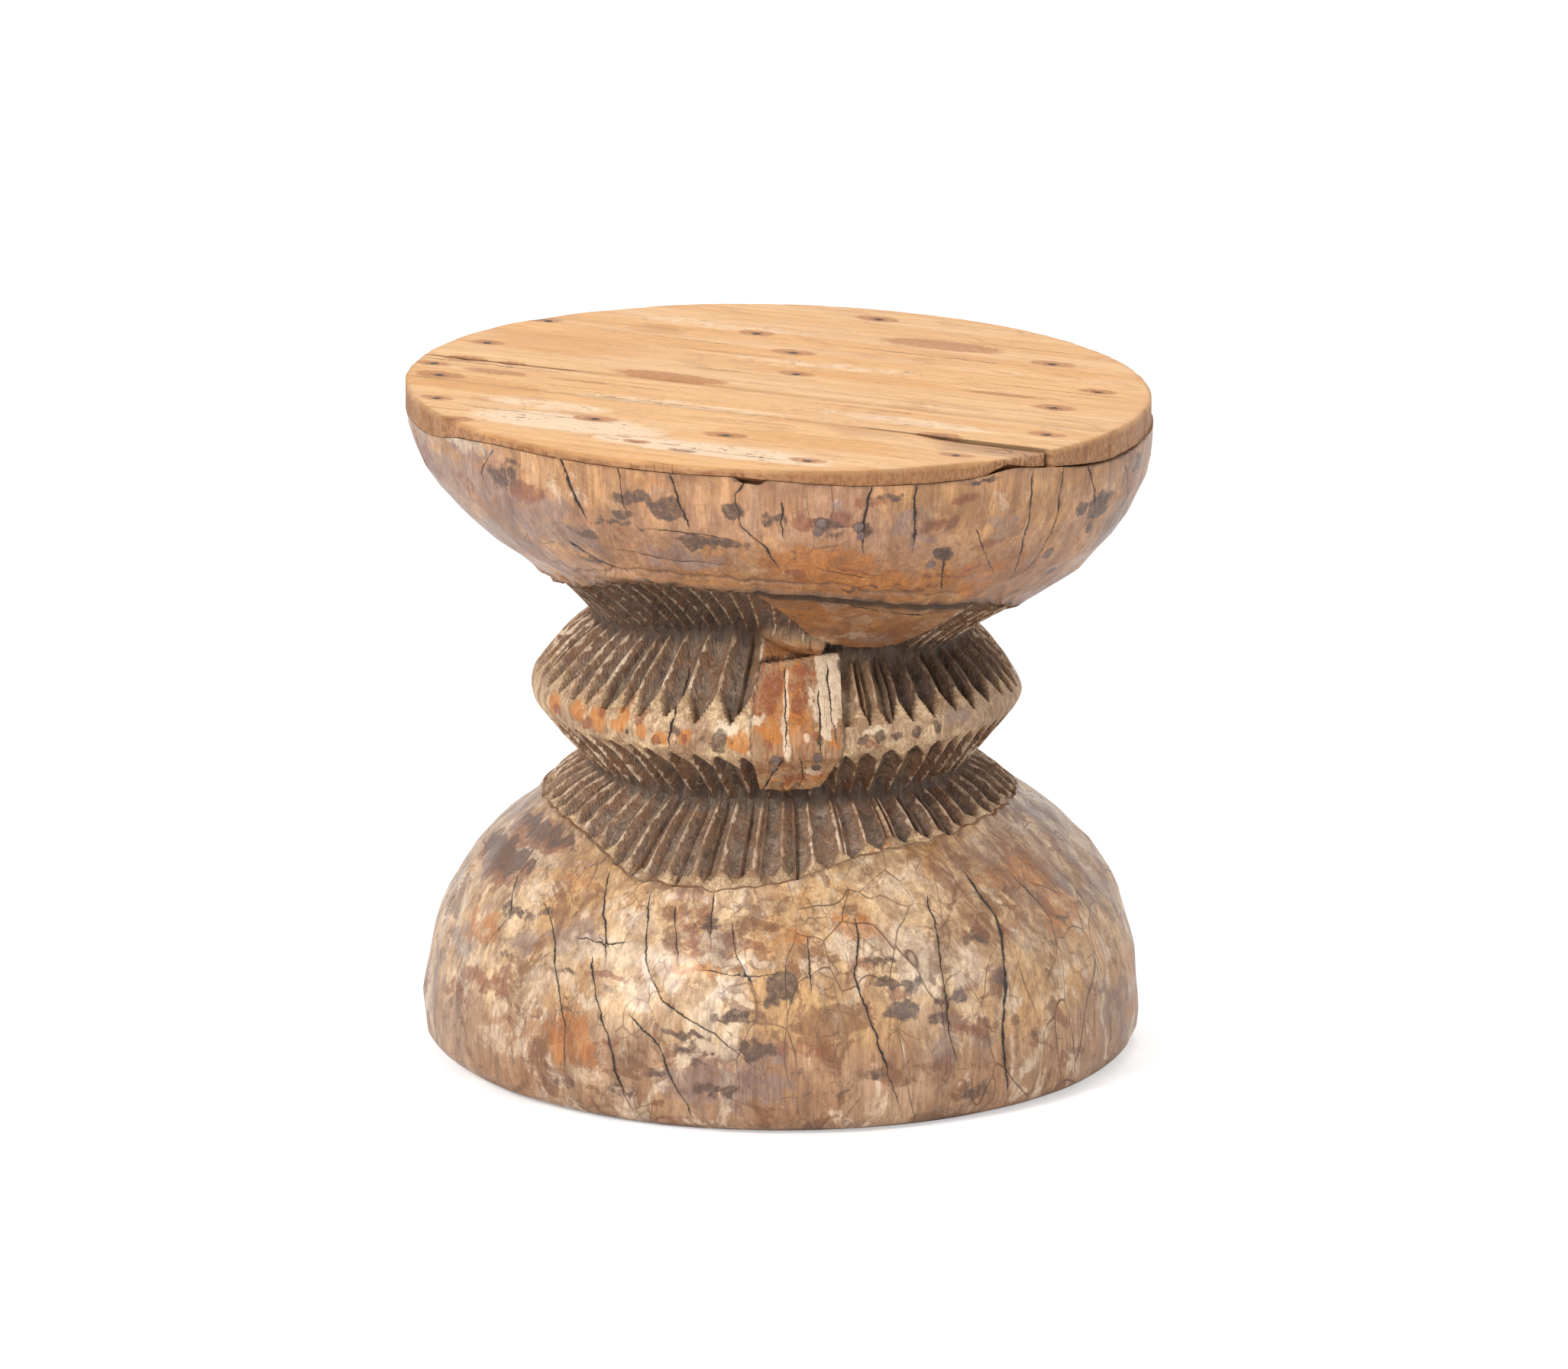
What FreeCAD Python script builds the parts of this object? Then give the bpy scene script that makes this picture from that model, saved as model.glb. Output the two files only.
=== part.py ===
import FreeCAD, Part
import math
import os
import Sketcher

# African drum table: one hollow carved log with a top of three boards laid over its bowl.
# The origin is on the floor under the middle of the top, +Z up, the carved front panel towards -Y.
# Azimuths are measured from the front, towards +X.

doc = FreeCAD.newDocument("african_drum_table")
sheet = doc.addObject("Spreadsheet::Sheet", "sheet")

# Driving dimensions in millimetres, angles in degrees, counts as plain numbers.
SIZES = (
    ("table_height", 450),
    ("top_long_axis", 521),
    ("top_short_axis", 474),
    ("top_turn", -45),
    ("board_thickness", 18),
    ("board_edge_round", 3),
    ("board_turn", -27),
    ("seam_gap", 0.8),
    ("rear_seam_offset", -24),
    ("middle_board_width", 62),
    ("bowl_depth", 99),
    ("bowl_lean", 19),
    ("lip_radius", 186),
    ("lip_overhang", 1.5),
    ("under_bowl_height", 35),
    ("under_bowl_radius", 127),
    ("under_bowl_lean", 8),
    ("upper_neck_radius", 122),
    ("ring_top_height", 41),
    ("belly_height", 23),
    ("belly_radius", 162),
    ("belly_step", 0.6),
    ("ring_under_height", 37),
    ("lower_neck_radius", 124),
    ("skirt_height", 34),
    ("skirt_radius", 170),
    ("skirt_step", 6),
    ("foot_wide_radius", 240.5),
    ("foot_radius", 223),
    ("foot_lean", 3),
    ("mouth_radius", 184),
    ("chamber_depth", 93),
    ("throat_radius", 62),
    ("foot_wall", 32),
    ("shoulder_wall", 18),
    ("vault_drop", 51),
    ("core_margin", 10),
    ("neck_groove", 3),
    ("flute_tip", 8),
    ("under_bowl_flute_depth", 6),
    ("ring_flute_depth", 8.5),
    ("ring_under_flute_depth", 7.5),
    ("skirt_flute_depth", 7),
    ("under_bowl_flute_slant", 3),
    ("under_bowl_flutes", 72),
    ("ring_flutes", 56),
    ("ring_under_flutes", 60),
    ("skirt_flutes", 52),
    ("panel_azimuth", 6),
    ("panel_angle", 21),
    ("panel_proud", 3.5),
    ("panel_neck_proud", 13),
    ("swell_azimuth", 28),
    ("swell_reach", 78),
    ("swell_depth", 34),
    ("swell_radius", 106),
    ("batten_width", 140),
    ("batten_thickness", 24),
    ("batten_offset", -24),
    ("batten_end_gap", 2),
    ("nail_head_width", 8),
    ("nail_head_thickness", 1.6),
    ("nail_shank_width", 4),
    ("nail_point", 6),
    ("nail_clearance", 0.15),
    ("rim_nail_length", 40),
    ("batten_nail_length", 36),
    ("peg_radius", 3.6),
    ("peg_depth", 20),
    ("peg_clearance", 0.15),
    ("cut_overrun", 10),
)

# The chamber's floor in the bowl, as shares of the way out from the throat to the mouth and up to the rim.
CHAMBER_SHARES = ((0.00, 0.00), (0.50, 0.00), (1.00, 0.48))

# How far the foot's side has run in, from its widest radius to the skirt, where the hollow's vault begins.
VAULT_SHARE = 0.31

# What follows from the driving dimensions: levels from the top down, then radii.
FOLLOWING = (
    ("rim_level", "table_height - board_thickness"),
    ("lip_level", "rim_level - bowl_depth"),
    ("upper_neck_level", "lip_level - under_bowl_height"),
    ("belly_top_level", "upper_neck_level - ring_top_height"),
    ("belly_bottom_level", "belly_top_level - belly_height"),
    ("lower_neck_level", "belly_bottom_level - ring_under_height"),
    ("skirt_level", "lower_neck_level - skirt_height"),
    ("chamber_level", "rim_level - chamber_depth"),
    ("vault_level", "skirt_level - vault_drop"),
    ("swell_level", "lip_level - swell_depth"),
    ("batten_level", "rim_level - batten_thickness"),
    ("rim_radius", "(top_long_axis + top_short_axis) / 4"),
    ("rim_spread", "(top_long_axis - top_short_axis) / 4"),
    ("upper_core_radius", "upper_neck_radius - core_margin"),
    ("lower_core_radius", "lower_neck_radius - core_margin"),
    ("foot_side_at_vault", "foot_wide_radius - %g * (foot_wide_radius - skirt_radius)" % VAULT_SHARE),
    ("hollow_radius", "min(foot_radius; foot_side_at_vault) - foot_wall"),
    ("batten_reach", "mouth_radius - batten_end_gap"),
)
for row, (alias, value) in enumerate(SIZES + FOLLOWING, start=1):
    sheet.set("A%d" % row, alias.replace("_", " "))
    sheet.set("B%d" % row, "=" + value if isinstance(value, str) else str(value))
    sheet.setAlias("B%d" % row, alias)
doc.recompute()


def size(alias):
    return float(getattr(sheet, alias))


# Where the valley lies between two even ridges, and between two teeth that lean.
RIDGE_SHARE = 0.5
TOOTH_SHARE = 0.3

# A side is flat when its fourth corner lies this near the plane of the others, as a share of its width.
FLAT_SHARE = 1e-6

# The bowl seen as ovals, from the rim down to the lip. Each row holds the shares of the bowl's depth,
# of the widening from lip to rim, of the rim's oval and of the lean to the right.
BOWL_SHARES = (
    (0.00, 1.00, 1.00, 0.00),
    (0.16, 1.00, 1.00, 0.05),
    (0.35, 0.89, 0.88, 0.23),
    (0.59, 0.63, 0.58, 0.52),
    (0.81, 0.32, 0.27, 0.82),
    (1.00, 0.00, 0.05, 1.00),
)

# The foot's side, as shares of the skirt's level and of the way out from the floor to its widest radius,
# then of the way in from there to the skirt.
FOOT_OUT_SHARES = ((0.56, 0.03), (1.00, 0.14))
FOOT_IN_SHARES = ((0.03, 0.38), (0.19, 0.60), (0.47, 0.80), (0.80, 0.95))

# The swell under the bowl, as shares of its radius and of the way up from its underside.
SWELL_SHARES = ((0.54, 0.00), (0.80, 0.20), (0.95, 0.50), (1.00, 1.00))

# Nails into the log's rim, by azimuth and share of the way from the mouth to the top's edge.
RIM_NAIL_SHARES = (
    (219, 0.82), (237, 0.65), (254, 0.77), (262, 0.64), (280, 0.74), (161, 0.46),
    (109, 0.17), (84, 0.44), (69.5, 0.14), (51, 0.56), (30, 0.63), (5, 0.51),
)

# Nails into the batten, as shares of its half width and of its half length.
BATTEN_NAIL_SHARES = ((-0.54, -0.78), (-0.84, 0.72), (-0.15, 0.50), (0.29, 0.19), (0.85, -0.79))

# How many flats the hand-made nails and pegs have, and how blunt a nail's point is.
HEAD_SIDES = 8
SHANK_SIDES = 4
PEG_SIDES = 10
POINT_SHARE = 0.2

# Pegs by azimuth, the level and height of the band that they sit in, and share of that height.
PEG_SHARES = (
    (6.5, "lip_level", "bowl_depth", 0.81), (12.4, "lip_level", "bowl_depth", 0.77),
    (25.3, "lip_level", "bowl_depth", 0.54), (-0.5, "belly_bottom_level", "belly_height", 0.02),
    (9.4, "belly_bottom_level", "belly_height", 0.06),
)


def bound(kind, name, **bindings):
    """Adds an object whose properties follow the sheet."""
    item = doc.addObject(kind, name)
    for prop, expression in bindings.items():
        item.setExpression(prop, expression)
    return item


def turned(item, angle_expression, base_expressions=("0", "0", "0")):
    """Turns an object about the upright axis and moves it, both from the sheet."""
    item.Placement = FreeCAD.Placement(FreeCAD.Vector(), FreeCAD.Rotation(FreeCAD.Vector(0, 0, 1), 0))
    item.setExpression("Placement.Rotation.Angle", angle_expression)
    for axis, expression in zip("xyz", base_expressions):
        item.setExpression("Placement.Base." + axis, expression)
    return item


def turned_box(name, along, across, level, length, width, height):
    """A box that runs with the boards. Its corner is given along them, across them and by its level."""
    block = bound("Part::Box", name, Length=length, Width=width, Height=height)
    corner = (
        "cos(sheet.board_turn) * (%s) - sin(sheet.board_turn) * (%s)" % (along, across),
        "sin(sheet.board_turn) * (%s) + cos(sheet.board_turn) * (%s)" % (along, across),
        level,
    )
    return turned(block, "sheet.board_turn", corner)


def straight_loft(name, sections):
    """A solid with straight sides from outline to outline."""
    loft = doc.addObject("Part::Loft", name)
    loft.Sections = sections
    loft.Solid = True
    loft.Ruled = True
    return loft


def oval_section(name, middle, spread, lean, level):
    """A level oval that lies as the top does, by its mean radius and how far its axes part from it."""
    short_half = "%s - %s" % (middle, spread)
    long_half = "%s + %s" % (middle, spread)
    section = bound("Part::Ellipse", name, MinorRadius=short_half, MajorRadius=long_half)
    return turned(section, "sheet.top_turn", (lean, "0", level))


def revolved_body(name, corners, angle="360"):
    """A body turned about the upright axis. Corners are pairs of expressions for radius and level."""
    body = doc.addObject("PartDesign::Body", name)
    sketch = body.newObject("Sketcher::SketchObject", name + "_profile")
    plane = [f for f in body.Origin.OriginFeatures if f.Role == "XZ_Plane"][0]
    sketch.AttachmentSupport = [(plane, "")]
    sketch.MapMode = "FlatFace"
    places = [FreeCAD.Vector(evaluate(x), evaluate(z), 0) for x, z in corners]
    count = len(places)
    for index in range(count):
        sketch.addGeometry(Part.LineSegment(places[index], places[(index + 1) % count]), False)
    for index in range(count):
        sketch.addConstraint(Sketcher.Constraint("Coincident", index, 2, (index + 1) % count, 1))
        x, z = corners[index]
        for kind, axis, expression, value in (
            ("DistanceX", -2, x, places[index].x), ("DistanceY", -1, z, places[index].y),
        ):
            if expression == "0":
                sketch.addConstraint(Sketcher.Constraint("PointOnObject", index, 1, axis))
            else:
                number = sketch.addConstraint(Sketcher.Constraint(kind, -1, 1, index, 1, value))
                sketch.setExpression("Constraints[%d]" % number, expression)
    turn = body.newObject("PartDesign::Revolution", name + "_turn")
    turn.Profile = sketch
    turn.ReferenceAxis = (sketch, ["V_Axis"])
    turn.setExpression("Angle", angle)
    turn.Midplane = angle != "360"
    return body


def evaluate(expression):
    return float(sheet.evalExpression(expression.replace("sheet.", "")))


def nowhere(azimuth):
    return False


def star_ring(level, ridge, valley, count, valley_share, centre, plain, slant):
    """The corners of an outline of ridges and valleys; where plain(azimuth) holds there are no valleys."""
    step = 360 / count
    corners = []
    for number in range(count):
        for place, radius in ((0, ridge), (valley_share, valley)):
            azimuth = (number + place) * step
            reach = ridge if plain(azimuth) else radius
            angle = math.radians(azimuth + slant - 90)
            corners.append(FreeCAD.Vector(centre + reach * math.cos(angle), reach * math.sin(angle), level))
    return corners


def ring(level, radius, flute_share, count, valley_share, centre=0, plain=nowhere, slant=0):
    """One star outline. Its valleys are a share of its own radius, which keeps the flutes' sides flat."""
    return star_ring(level, radius, radius * (1 - flute_share), count, valley_share, centre, plain, slant)


def even_ring(level, across_flats, sides):
    """The corners of an even-sided outline about the upright axis, by its width across the flats."""
    reach = across_flats / 2 / math.cos(math.pi / sides)
    angles = [(number + 0.5) * 2 * math.pi / sides for number in range(sides)]
    return [FreeCAD.Vector(reach * math.cos(a), reach * math.sin(a), level) for a in angles]


def flat_face(corners):
    return Part.Face(Part.makePolygon(corners + corners[:1]))


def flat_sided(rings):
    """A solid with flat sides from ring to ring. A side that isn't flat is cut along its diagonal."""
    faces = [flat_face(rings[0]), flat_face(rings[-1])]
    for lower, upper in zip(rings, rings[1:]):
        for index in range(len(lower)):
            following = (index + 1) % len(lower)
            a, b, c, d = lower[index], lower[following], upper[following], upper[index]
            normal = (b - a).cross(d - a)
            lift = abs(normal.normalize().dot(c - a))
            if lift < FLAT_SHARE * (b - a).Length:
                faces.append(flat_face([a, b, c, d]))
            else:
                faces.append(flat_face([a, b, c]))
                faces.append(flat_face([a, c, d]))
    shell = Part.makeShell(faces)
    shell.sewShape()
    solid = Part.makeSolid(shell)
    return solid if solid.Volume > 0 else solid.reversed()


def fluted_band(name, rings):
    """A band of carved flutes as one solid, straight from ring to ring."""
    band = doc.addObject("Part::Feature", name)
    band.Shape = flat_sided(rings)
    return band


def beside_panel(azimuth):
    """True where the plain front panel interrupts the flutes of the ring."""
    away = (azimuth - size("panel_azimuth") + 180) % 360 - 180
    return abs(away) < size("panel_angle") / 2


def between(rise, wide, narrow, run):
    """The radius of a straight flank a little way in from its wide end."""
    return wide + (narrow - wide) * rise / run


def flank(name, wide_level, narrow_level, wide_radius, narrow_radius, depth, count, tip, valley_share, plain):
    """A band of flutes on a straight flank. They run out in blunt tips just before its wide edge."""
    share = depth / wide_radius
    run = narrow_level - wide_level
    tip = math.copysign(tip, run)
    rings = [
        ring(wide_level, wide_radius, 0, count, valley_share),
        ring(
            wide_level + tip, between(tip, wide_radius, narrow_radius, run), share, count, valley_share,
            plain=plain,
        ),
        ring(narrow_level, narrow_radius, share, count, valley_share, plain=plain),
    ]
    return fluted_band(name, rings if run > 0 else rings[::-1])


# The outside of the log, from the foot up.

foot = revolved_body(
    "log_foot",
    [("0", "0"), ("sheet.foot_radius", "0")]
    + [
        (
            "sheet.foot_radius + %g * (sheet.foot_wide_radius - sheet.foot_radius)" % outward,
            "%g * sheet.skirt_level" % up,
        )
        for outward, up in FOOT_OUT_SHARES
    ]
    + [
        (
            "sheet.foot_wide_radius - %g * (sheet.foot_wide_radius - sheet.skirt_radius)" % inward,
            "%g * sheet.skirt_level" % up,
        )
        for inward, up in FOOT_IN_SHARES
    ]
    + [
        ("sheet.skirt_radius - sheet.skirt_step", "sheet.skirt_level"),
        ("0", "sheet.lower_neck_level - sheet.core_margin"),
    ],
)
turned(foot, "0", ("sheet.foot_lean", "0", "0"))

waist = revolved_body(
    "log_waist",
    (
        ("0", "sheet.skirt_level"),
        ("sheet.lower_core_radius", "sheet.skirt_level"),
        ("sheet.lower_core_radius", "sheet.belly_bottom_level"),
        ("sheet.belly_radius", "sheet.belly_bottom_level"),
        ("sheet.belly_radius", "sheet.belly_top_level"),
        ("sheet.upper_core_radius", "sheet.belly_top_level"),
        ("sheet.upper_core_radius", "sheet.lip_level + sheet.core_margin"),
        ("0", "sheet.lip_level + sheet.core_margin"),
    ),
)

bowl_ovals = []
for number, (down, widen, oval, leaning) in enumerate(BOWL_SHARES, start=1):
    bowl_ovals.append(oval_section(
        "bowl_oval_%d" % number,
        "sheet.lip_radius + %g * (sheet.rim_radius - sheet.lip_radius)" % widen,
        "%g * sheet.rim_spread" % oval,
        "%g * sheet.bowl_lean" % leaning,
        "sheet.rim_level - %g * sheet.bowl_depth" % down,
    ))
bowl = straight_loft("log_bowl", bowl_ovals)

half_groove = size("neck_groove") / 2
under_count = int(size("under_bowl_flutes"))
under_share = size("under_bowl_flute_depth") / size("lip_radius")
under_bowl = fluted_band(
    "flutes_under_bowl",
    (
        ring(
            size("upper_neck_level") + half_groove, size("under_bowl_radius"), under_share, under_count,
            TOOTH_SHARE, size("under_bowl_lean"), slant=size("under_bowl_flute_slant"),
        ),
        ring(
            size("lip_level"), size("lip_radius") - size("lip_overhang"), under_share, under_count,
            TOOTH_SHARE, size("bowl_lean"),
        ),
    ),
)
belly_edge = size("belly_radius") - size("belly_step")
ring_top = flank(
    "flutes_on_ring", size("belly_top_level"), size("upper_neck_level") - half_groove, belly_edge,
    size("upper_neck_radius"), size("ring_flute_depth"), int(size("ring_flutes")), size("flute_tip"),
    RIDGE_SHARE, beside_panel,
)
ring_under = flank(
    "flutes_under_ring", size("belly_bottom_level"), size("lower_neck_level") + half_groove, belly_edge,
    size("lower_neck_radius"), size("ring_under_flute_depth"), int(size("ring_under_flutes")),
    size("flute_tip") / 2, TOOTH_SHARE, beside_panel,
)
skirt = flank(
    "flutes_on_skirt", size("skirt_level"), size("lower_neck_level") - half_groove, size("skirt_radius"),
    size("lower_neck_radius"), size("skirt_flute_depth"), int(size("skirt_flutes")), size("flute_tip"),
    RIDGE_SHARE, nowhere,
)

# The plain panel left standing at the front of the ring.
panel = revolved_body(
    "front_panel",
    (
        ("sheet.lower_core_radius", "sheet.lower_neck_level + sheet.core_margin"),
        ("sheet.lower_neck_radius + sheet.panel_neck_proud", "sheet.lower_neck_level + sheet.core_margin"),
        ("sheet.belly_radius + sheet.panel_proud", "sheet.belly_bottom_level"),
        ("sheet.belly_radius + sheet.panel_proud", "sheet.belly_top_level"),
        ("sheet.upper_neck_radius + sheet.panel_neck_proud", "sheet.upper_neck_level - sheet.core_margin"),
        ("sheet.upper_core_radius", "sheet.upper_neck_level - sheet.core_margin"),
    ),
    "sheet.panel_angle",
)
turned(panel, "sheet.panel_azimuth - 90")

# The smooth swell under the bowl, low at the front right.
swell = revolved_body(
    "bowl_swell",
    [("0", "sheet.swell_level")]
    + [
        (
            "%g * sheet.swell_radius" % out,
            "sheet.swell_level + %g * (sheet.lip_level + sheet.core_margin - sheet.swell_level)" % up,
        )
        for out, up in SWELL_SHARES
    ]
    + [("0", "sheet.lip_level + sheet.core_margin")],
)
turned(
    swell, "0",
    ("sheet.swell_reach * sin(sheet.swell_azimuth)", "-sheet.swell_reach * cos(sheet.swell_azimuth)", "0"),
)

log_outside = doc.addObject("Part::MultiFuse", "log_outside")
log_outside.Shapes = [foot, waist, bowl, under_bowl, ring_top, ring_under, skirt, panel, swell]
doc.recompute()

# The hollow inside the log: the open foot with its vault, the throat through the waist and the chamber
# in the bowl.
hollow = revolved_body(
    "log_hollow",
    [
        ("0", "-sheet.cut_overrun"),
        ("sheet.hollow_radius", "-sheet.cut_overrun"),
        ("sheet.hollow_radius", "sheet.vault_level"),
        ("sheet.skirt_radius - sheet.shoulder_wall", "sheet.skirt_level"),
        ("sheet.throat_radius", "sheet.skirt_level"),
    ]
    + [
        (
            "sheet.throat_radius + %g * (sheet.mouth_radius - sheet.throat_radius)" % outward,
            "sheet.chamber_level + %g * sheet.chamber_depth" % up,
        )
        for outward, up in CHAMBER_SHARES
    ]
    + [
        ("sheet.mouth_radius", "sheet.rim_level + sheet.cut_overrun"),
        ("0", "sheet.rim_level + sheet.cut_overrun"),
    ],
)


def oval_reach(angle):
    """How far the top's edge lies from its middle in one direction."""
    long_half = size("top_long_axis") / 2
    short_half = size("top_short_axis") / 2
    away = angle - math.radians(size("top_turn"))
    return long_half * short_half / math.hypot(short_half * math.cos(away), long_half * math.sin(away))


def rim_nail_places():
    """Where the rim nails stand, each between the mouth of the bowl and the edge of the top."""
    places = []
    for azimuth, share in RIM_NAIL_SHARES:
        angle = math.radians(azimuth - 90)
        reach = size("mouth_radius") + share * (oval_reach(angle) - size("mouth_radius"))
        places.append((reach * math.cos(angle), reach * math.sin(angle)))
    return places


def batten_nail_places():
    """Where the batten's nails stand."""
    turn = math.radians(size("board_turn"))
    places = []
    for across, along in BATTEN_NAIL_SHARES:
        u = size("batten_offset") + across * size("batten_width") / 2
        v = along * size("batten_reach")
        places.append((u * math.cos(turn) - v * math.sin(turn), u * math.sin(turn) + v * math.cos(turn)))
    return places


def driven(places, length, clearance, name):
    """Hand-made nails, driven flush with the boards, or with a clearance the holes that they sit in."""
    head_width = size("nail_head_width") + 2 * clearance
    shank_width = size("nail_shank_width") + 2 * clearance
    seat = -size("nail_head_thickness")
    head = flat_sided([even_ring(seat, head_width, HEAD_SIDES), even_ring(0, head_width, HEAD_SIDES)])
    shank = flat_sided([
        even_ring(-length, shank_width * POINT_SHARE, SHANK_SIDES),
        even_ring(size("nail_point") - length, shank_width, SHANK_SIDES),
        even_ring(seat, shank_width, SHANK_SIDES),
    ])
    nail = head.fuse(shank).removeSplitter()
    nails = [nail.translated(FreeCAD.Vector(x, y, size("table_height"))) for x, y in places]
    group = doc.addObject("Part::Feature", name)
    group.Shape = Part.makeCompound(nails)
    return group


def surface_reach(outward, level):
    """How far the log's outside lies from the upright axis in one direction."""
    middle = FreeCAD.Vector(0, 0, level)
    ray = Part.makeLine(middle, middle + outward * size("top_long_axis"))
    return max(vertex.Point.dot(outward) for vertex in ray.common(log_outside.Shape).Vertexes)


def pegs(clearance, name, trimmed):
    """Wooden pegs set square to the log's side, cut flush with it, or the holes that they fill."""
    solids = []
    for azimuth, band_level, band_height, share in PEG_SHARES:
        angle = math.radians(azimuth - 90)
        outward = FreeCAD.Vector(math.cos(angle), math.sin(angle), 0)
        level = size(band_level) + share * size(band_height)
        inner = outward * (surface_reach(outward, level) - size("peg_depth")) + FreeCAD.Vector(0, 0, level)
        length = size("peg_depth") + size("cut_overrun")
        width = 2 * (size("peg_radius") + clearance)
        stub = flat_sided([even_ring(0, width, PEG_SIDES), even_ring(length, width, PEG_SIDES)])
        stub.Placement = FreeCAD.Placement(inner, FreeCAD.Rotation(FreeCAD.Vector(0, 0, 1), outward))
        solids.append(stub.common(log_outside.Shape) if trimmed else stub)
    group = doc.addObject("Part::Feature", name)
    group.Shape = Part.makeCompound([s.Solids[0] for s in solids])
    return group


room = size("nail_clearance")
rim_holes = driven(rim_nail_places(), size("rim_nail_length"), room, "rim_nail_holes")
batten_holes = driven(batten_nail_places(), size("batten_nail_length"), room, "batten_nail_holes")
peg_holes = pegs(size("peg_clearance"), "peg_holes", False)


def cut_by(name, base, tools):
    """Cuts one object by several others and gives the result its node's name."""
    cutter = doc.addObject("Part::Compound", name + "_cutters")
    cutter.Links = tools
    piece = doc.addObject("Part::Cut", name)
    piece.Base = base
    piece.Tool = cutter
    return piece


pieces = [cut_by("drum_shell", log_outside, [hollow, rim_holes, peg_holes])]

# The top: one oval slab sawn along two seams into three boards.
slab = straight_loft("top_slab", [
    oval_section("top_oval_under", "sheet.rim_radius", "sheet.rim_spread", "0", "sheet.rim_level"),
    oval_section(
        "top_oval_edge", "sheet.rim_radius", "sheet.rim_spread", "0",
        "sheet.table_height - sheet.board_edge_round",
    ),
    oval_section(
        "top_oval_face", "sheet.rim_radius - sheet.board_edge_round", "sheet.rim_spread", "0",
        "sheet.table_height",
    ),
])

FRONT_SEAM = "sheet.rear_seam_offset - sheet.middle_board_width"
BOARDS = (
    ("rear_board", "sheet.rear_seam_offset + sheet.seam_gap / 2", "sheet.top_long_axis"),
    ("middle_board", FRONT_SEAM + " + sheet.seam_gap / 2", "sheet.rear_seam_offset - sheet.seam_gap / 2"),
    ("front_board", "-sheet.top_long_axis", FRONT_SEAM + " - sheet.seam_gap / 2"),
)
for name, near, far in BOARDS:
    board = doc.addObject("Part::Common", name + "_blank")
    board.Base = slab
    board.Tool = turned_box(
        name + "_strip", "-sheet.top_long_axis", near, "sheet.rim_level", "2 * sheet.top_long_axis",
        "(%s) - (%s)" % (far, near), "2 * sheet.board_thickness",
    )
    pieces.append(cut_by(name, board, [rim_holes, batten_holes]))

# One wide batten nailed across the underside of the boards, cut to fit inside the mouth of the bowl.
plug = bound("Part::Cylinder", "batten_plug", Radius="sheet.batten_reach", Height="sheet.batten_thickness")
turned(plug, "0", ("0", "0", "sheet.batten_level"))
batten = doc.addObject("Part::Common", "batten_blank")
batten.Base = plug
batten.Tool = turned_box(
    "batten_bar", "sheet.batten_offset - sheet.batten_width / 2", "-sheet.top_long_axis",
    "sheet.batten_level", "sheet.batten_width", "2 * sheet.top_long_axis", "sheet.batten_thickness",
)
pieces.append(cut_by("cross_batten", batten, [batten_holes]))

pieces.append(driven(rim_nail_places(), size("rim_nail_length"), 0, "rim_nails"))
pieces.append(driven(batten_nail_places(), size("batten_nail_length"), 0, "batten_nails"))
pieces.append(pegs(0, "skin_pegs", True))
doc.recompute()

for item in doc.Objects:
    if "Invalid" in item.State or "Error" in item.State:
        raise RuntimeError("%s failed: %s" % (item.Label, item.State))

os.makedirs("parts", exist_ok=True)
for piece in pieces:
    shape = piece.Shape
    if shape.isNull() or not shape.isValid() or not shape.Solids:
        raise RuntimeError("%s has no valid solid" % piece.Label)
    box = shape.BoundBox
    print("%-14s solids %2d volume %11.0f" % (piece.Label, len(shape.Solids), shape.Volume), box)
    shape.exportStep("parts/%s.step" % piece.Label)
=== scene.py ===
"""Looks of a carved drum table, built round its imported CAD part."""

import math

import bmesh
import bpy
import numpy as np
from bpy.props import FloatProperty, FloatVectorProperty, IntProperty, PointerProperty
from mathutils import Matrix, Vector, geometry


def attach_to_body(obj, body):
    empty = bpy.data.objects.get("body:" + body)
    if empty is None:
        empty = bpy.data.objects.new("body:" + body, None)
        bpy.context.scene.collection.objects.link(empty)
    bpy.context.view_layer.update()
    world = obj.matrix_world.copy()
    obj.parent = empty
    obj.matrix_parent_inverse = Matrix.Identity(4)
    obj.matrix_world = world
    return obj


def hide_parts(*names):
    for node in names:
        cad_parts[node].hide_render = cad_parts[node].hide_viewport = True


bl_info = {
    "name": "Carved drum table",
    "version": (1, 0, 0),
    "blender": (4, 5, 0),
    "location": "3D View > Sidebar > Drum table",
    "description": "Builds the carved log, its board top and small parts round the CAD frame",
    "category": "Object",
}

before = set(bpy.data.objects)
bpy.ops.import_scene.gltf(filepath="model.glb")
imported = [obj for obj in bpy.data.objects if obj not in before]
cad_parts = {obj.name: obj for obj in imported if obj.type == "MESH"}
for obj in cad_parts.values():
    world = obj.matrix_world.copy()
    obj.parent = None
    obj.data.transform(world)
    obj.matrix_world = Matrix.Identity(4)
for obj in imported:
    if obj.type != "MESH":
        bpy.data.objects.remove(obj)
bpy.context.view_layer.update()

MM = 0.001
DEG = math.pi / 180
FULL_TURN = 360.0
COLUMNS = 720
AZ = np.arange(COLUMNS) * FULL_TURN / COLUMNS - 180.0
# Angles in degrees beyond which an edge stays sharp.
LOG_CREASE, BOARD_CREASE, SMALL_CREASE = 38, 50, 55

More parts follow.
